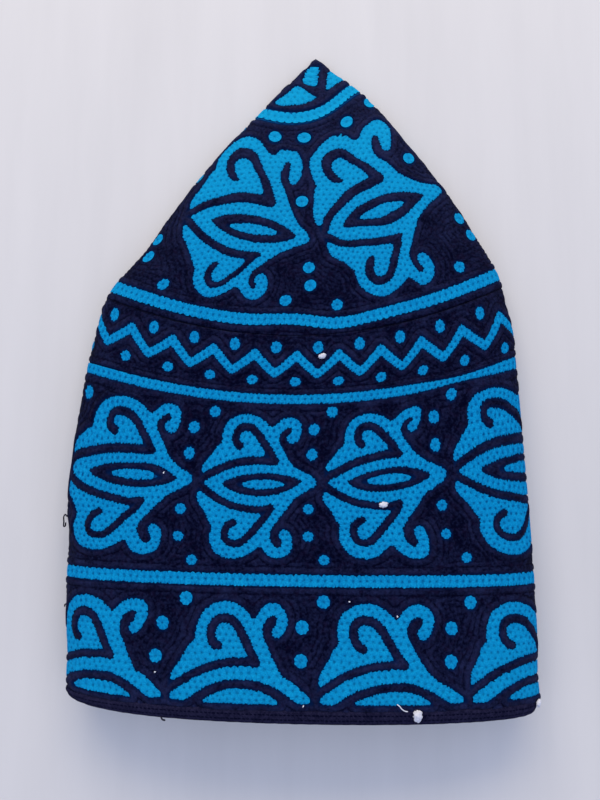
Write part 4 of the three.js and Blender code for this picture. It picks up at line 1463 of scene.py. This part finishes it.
def turquoise_thread():
    """Turquoise thread in eyelets: painted shade deep blue in the pits and at and between the thread ends along
    the outlines, lighter on the crests, with the spokes' threads as ribs that run out from each pit and a painted
    highlight along each rib."""
    material, shader, add, link = plain_material("turquoise_thread", 0.85, 0.0, 0.03)
    uv = add("ShaderNodeUVMap", uv_map="cloth").outputs[0]
    place = add("ShaderNodeTexCoord").outputs["Object"]
    reach = add("ShaderNodeAttribute", attribute_name="reach").outputs["Fac"]
    lot = add("ShaderNodeAttribute", attribute_name="lot").outputs["Fac"]
    fray = add("ShaderNodeAttribute", attribute_name="fray").outputs["Fac"]
    around = add("ShaderNodeSeparateXYZ", Vector=uv).outputs["X"]
    lighter_ends = use_group(add, PLACE_LIGHTENING, Vector=place, Amount=0.6)
    ribs = math_node(add, "SINE", math_node(add, "MULTIPLY", around, math.pi))
    ribs = math_node(add, "MULTIPLY_ADD", ribs, 0.5, 0.5)
    fine = add("ShaderNodeTexNoise", Vector=place, Scale=800.0, Detail=2.0, Roughness=0.7).outputs["Fac"]
    patches = add("ShaderNodeTexNoise", Vector=place, Scale=45.0, Detail=3.0).outputs["Fac"]
    # Painted shade: the pits and their rims are deep blue
    thread = ramp(add, reach, (0.0, (0.0, 0.02, 0.11)), (0.3, (0.0, 0.085, 0.28)), (0.46, (0.001, 0.205, 0.47)),
                  (1.0, (0.001, 0.215, 0.49)))
    # Fine noise is thread tone; the ribs add a painted highlight along each spoke
    strand = math_node(add, "MULTIPLY_ADD", fine, 2.6, -1.25)
    strand = math_node(add, "ADD", math_node(add, "MULTIPLY", ribs, 0.4), strand, clamp=True)
    lighter = mix_colour(add, strand, thread, (0.004, 0.36, 0.70))
    shade = math_node(add, "MULTIPLY_ADD", lot, 0.15, math_node(add, "MULTIPLY", patches, 0.3))
    varied = mix_colour(add, shade, lighter, (0.0, 0.14, 0.40))
    # Lighter towards the tip and, less so, the hem
    lightened = mix_colour(add, lighter_ends["Light"], varied, (0.004, 0.32, 0.58))
    # Painted shade at and between the thread ends along the outlines
    end_shade = math_node(add, "MULTIPLY", fray, math_node(add, "MULTIPLY_ADD", ribs, -0.5, 0.85))
    ends = mix_colour(add, end_shade, lightened, (0.0, 0.12, 0.34))
    link(ends, shader.inputs["Base Color"])
    spokes = add("ShaderNodeBump", Strength=0.5, Distance=0.0003, Height=ribs)
    fuzz = add("ShaderNodeBump", Strength=0.5, Distance=0.0004, Height=fine, Normal=spokes.outputs[0])
    link(fuzz.outputs[0], shader.inputs["Normal"])
    return material


def hem_cloth():
    """Dark binding, a little lighter than the quilted cloth, with close stitches across it and painted shade as
    darker spots where the two stitched rows go in."""
    material, shader, add, link = plain_material("hem_navy", 0.9, 0.0, 0.02)
    uv = add("ShaderNodeUVMap", uv_map="cloth").outputs[0]
    place = add("ShaderNodeTexCoord").outputs["Object"]
    parts = add("ShaderNodeSeparateXYZ", Vector=uv)
    ribs = math_node(add, "SINE", math_node(add, "MULTIPLY", parts.outputs["X"], TURN * 7))
    weave = use_group(add, WEAVE, Vector=uv, Threads=14.0)
    patches = add("ShaderNodeTexNoise", Vector=place, Scale=80.0, Detail=4.0, Roughness=0.6).outputs["Fac"]
    grain = add("ShaderNodeTexNoise", Vector=place, Scale=650.0, Detail=3.0, Roughness=0.7).outputs["Fac"]
    row = math_node(add, "COSINE", math_node(add, "MULTIPLY_ADD", parts.outputs["Y"], TURN / 0.3, -TURN * 0.733))
    spot = math_node(add, "SINE", math_node(add, "MULTIPLY", parts.outputs["X"], TURN / 0.22))
    # Painted shade in the stitch holes of the two rows
    hole_shade = math_node(add, "MULTIPLY", math_node(add, "POWER", math_node(add, "MAXIMUM", row, 0.0), 3.0),
                      math_node(add, "MULTIPLY_ADD", spot, 0.4, 0.5))
    light = math_node(add, "ADD", math_node(add, "MULTIPLY", patches, 0.9), math_node(add, "MULTIPLY_ADD", grain, 1.6, -0.8))
    light = math_node(add, "SUBTRACT", light, hole_shade, clamp=True)
    navy = mix_colour(add, light, (0.0015, 0.0020, 0.013), (0.0230, 0.0215, 0.058))
    link(navy, shader.inputs["Base Color"])
    height = math_node(add, "MULTIPLY_ADD", ribs, 0.4, weave["Height"])
    threads = add("ShaderNodeBump", Strength=0.4, Distance=0.0004, Height=height)
    fuzz = add("ShaderNodeBump", Strength=0.5, Distance=0.0005, Height=grain, Normal=threads.outputs[0])
    link(fuzz.outputs[0], shader.inputs["Normal"])
    return material


def fluff(name, dark, light):
    """Loose fibre, matted: patchy between two shades."""
    material, shader, add, link = plain_material(name, 1.0, 0.0, 0.05)
    place = add("ShaderNodeTexCoord").outputs["Object"]
    fibres = add("ShaderNodeTexNoise", Vector=place, Scale=1400.0, Detail=3.0).outputs["Fac"]
    link(mix_colour(add, fibres, dark, light), shader.inputs["Base Color"])
    bump = add("ShaderNodeBump", Strength=0.6, Distance=0.0003, Height=fibres)
    link(bump.outputs[0], shader.inputs["Normal"])
    return material


def pale_floor():
    material, shader, add, link = plain_material("pale_floor", 0.85, 0.0, 0.2)
    place = add("ShaderNodeTexCoord").outputs["Object"]
    drawn = add("ShaderNodeMapping", Scale=(26.0, 3.0, 1.0))
    link(place, drawn.inputs[0])
    streaks = add("ShaderNodeTexNoise", Vector=drawn.outputs[0], Scale=1.0, Detail=5.0, Roughness=0.6).outputs["Fac"]
    link(mix_colour(add, streaks, (0.585, 0.57, 0.585), (0.695, 0.675, 0.69)), shader.inputs["Base Color"])
    return material


# Making

WEAVE = weave_group()
CORDS = cord_group()
PLACE_LIGHTENING = place_lightening_group()
navy = quilted_cloth()
turquoise = turquoise_thread()
hem_navy = hem_cloth()

# The side is cut where a dark valley runs beside a band, so that no joint shows.
SIDE_CUTS = [HEM_HEIGHT + GAP / 2, 68.6, 176.2, SEAM_AT - GAP / 2]
SIDE_NAMES = ["lower", "middle", "upper"]
for number, (low, high) in enumerate(zip(SIDE_CUTS, SIDE_CUTS[1:])):
    cloth = Cloth(low, high, SIDE_COLUMNS)
    side_piece(f"side_cloth_{SIDE_NAMES[number]}", cloth, navy)
    eyelet_piece(f"side_eyelets_{SIDE_NAMES[number]}", cloth, False, turquoise, ["side_band"], 20 + number)

CROWN_SPLIT = 300
crown_lower = Cloth(SEAM_AT + GAP / 2, CROWN_SPLIT, CROWN_COLUMNS)
crown_upper = Cloth(CROWN_SPLIT + ROW_STEP, TIP_AT, CROWN_COLUMNS // 2)
crown_piece(crown_lower, crown_upper, navy)
crown_whole = Cloth(SEAM_AT + GAP / 2, TIP_AT - 2, CROWN_COLUMNS, ROW_STEP * 1.25)
eyelet_piece("crown_eyelets", crown_whole, True, turquoise, ["crown"], 31)
hem_binding(hem_navy)
white_fluff = fluff("white_fluff", (0.42, 0.42, 0.50), (0.86, 0.86, 0.95))
lint(white_fluff)
thread_tube("pale_thread", [PALE_THREAD], 0.28, white_fluff)
thread_tube("dark_thread_ends", DARK_THREADS, 0.42, fluff("dark_fluff", (0.004, 0.004, 0.012), (0.03, 0.03, 0.05)))


# Floor, light and camera

def floor(material):
    """One square of the pale surface, wide enough to fill every view."""
    half = 3.0
    mesh = bpy.data.meshes.new("floor")
    mesh.from_pydata([(-half, -half, 0), (half, -half, 0), (half, half, 0), (-half, half, 0)], [], [(0, 1, 2, 3)])
    mesh.materials.append(material)
    plane = bpy.data.objects.new("floor", mesh)
    bpy.context.scene.collection.objects.link(plane)


def area_light(name, place, target, size, power, colour):
    light = bpy.data.lights.new(name, "AREA")
    light.shape = "RECTANGLE"
    light.size, light.size_y = size
    light.energy = power
    light.color = colour
    lamp = bpy.data.objects.new(name, light)
    lamp.location = place
    lamp.rotation_euler = (Vector(target) - Vector(place)).to_track_quat("-Z", "Y").to_euler()
    bpy.context.scene.collection.objects.link(lamp)


def photo_camera():
    """The photograph's view: from above, a little towards the hem, looking 83 degrees down."""
    elevation = math.radians(83)
    height = 0.390
    lens, sensor = 28.26, 36
    target = Vector((0.00005, -0.0258, 0))
    forward = Vector((0, math.cos(elevation), -math.sin(elevation)))
    data = bpy.data.cameras.new("camera")
    data.lens, data.sensor_width = lens, sensor
    data.clip_start = 0.01
    camera = bpy.data.objects.new("camera", data)
    camera.location = target - forward * height / math.sin(elevation)
    camera.rotation_euler = forward.to_track_quat("-Z", "Y").to_euler()
    bpy.context.scene.collection.objects.link(camera)
    bpy.context.scene.camera = camera


floor(pale_floor())
photo_camera()
area_light("window", (-0.15, 1.75, 1.1), (0, 0, 0), (2.4, 1.0), 40, (1.0, 0.86, 0.58))
world = bpy.data.worlds.new("room")
world.use_nodes = True
world.node_tree.nodes["Background"].inputs["Color"].default_value = (0.69, 0.775, 1.0, 1)
world.node_tree.nodes["Background"].inputs["Strength"].default_value = 0.93
bpy.context.scene.world = world
bpy.context.scene.view_settings.view_transform = "Standard"
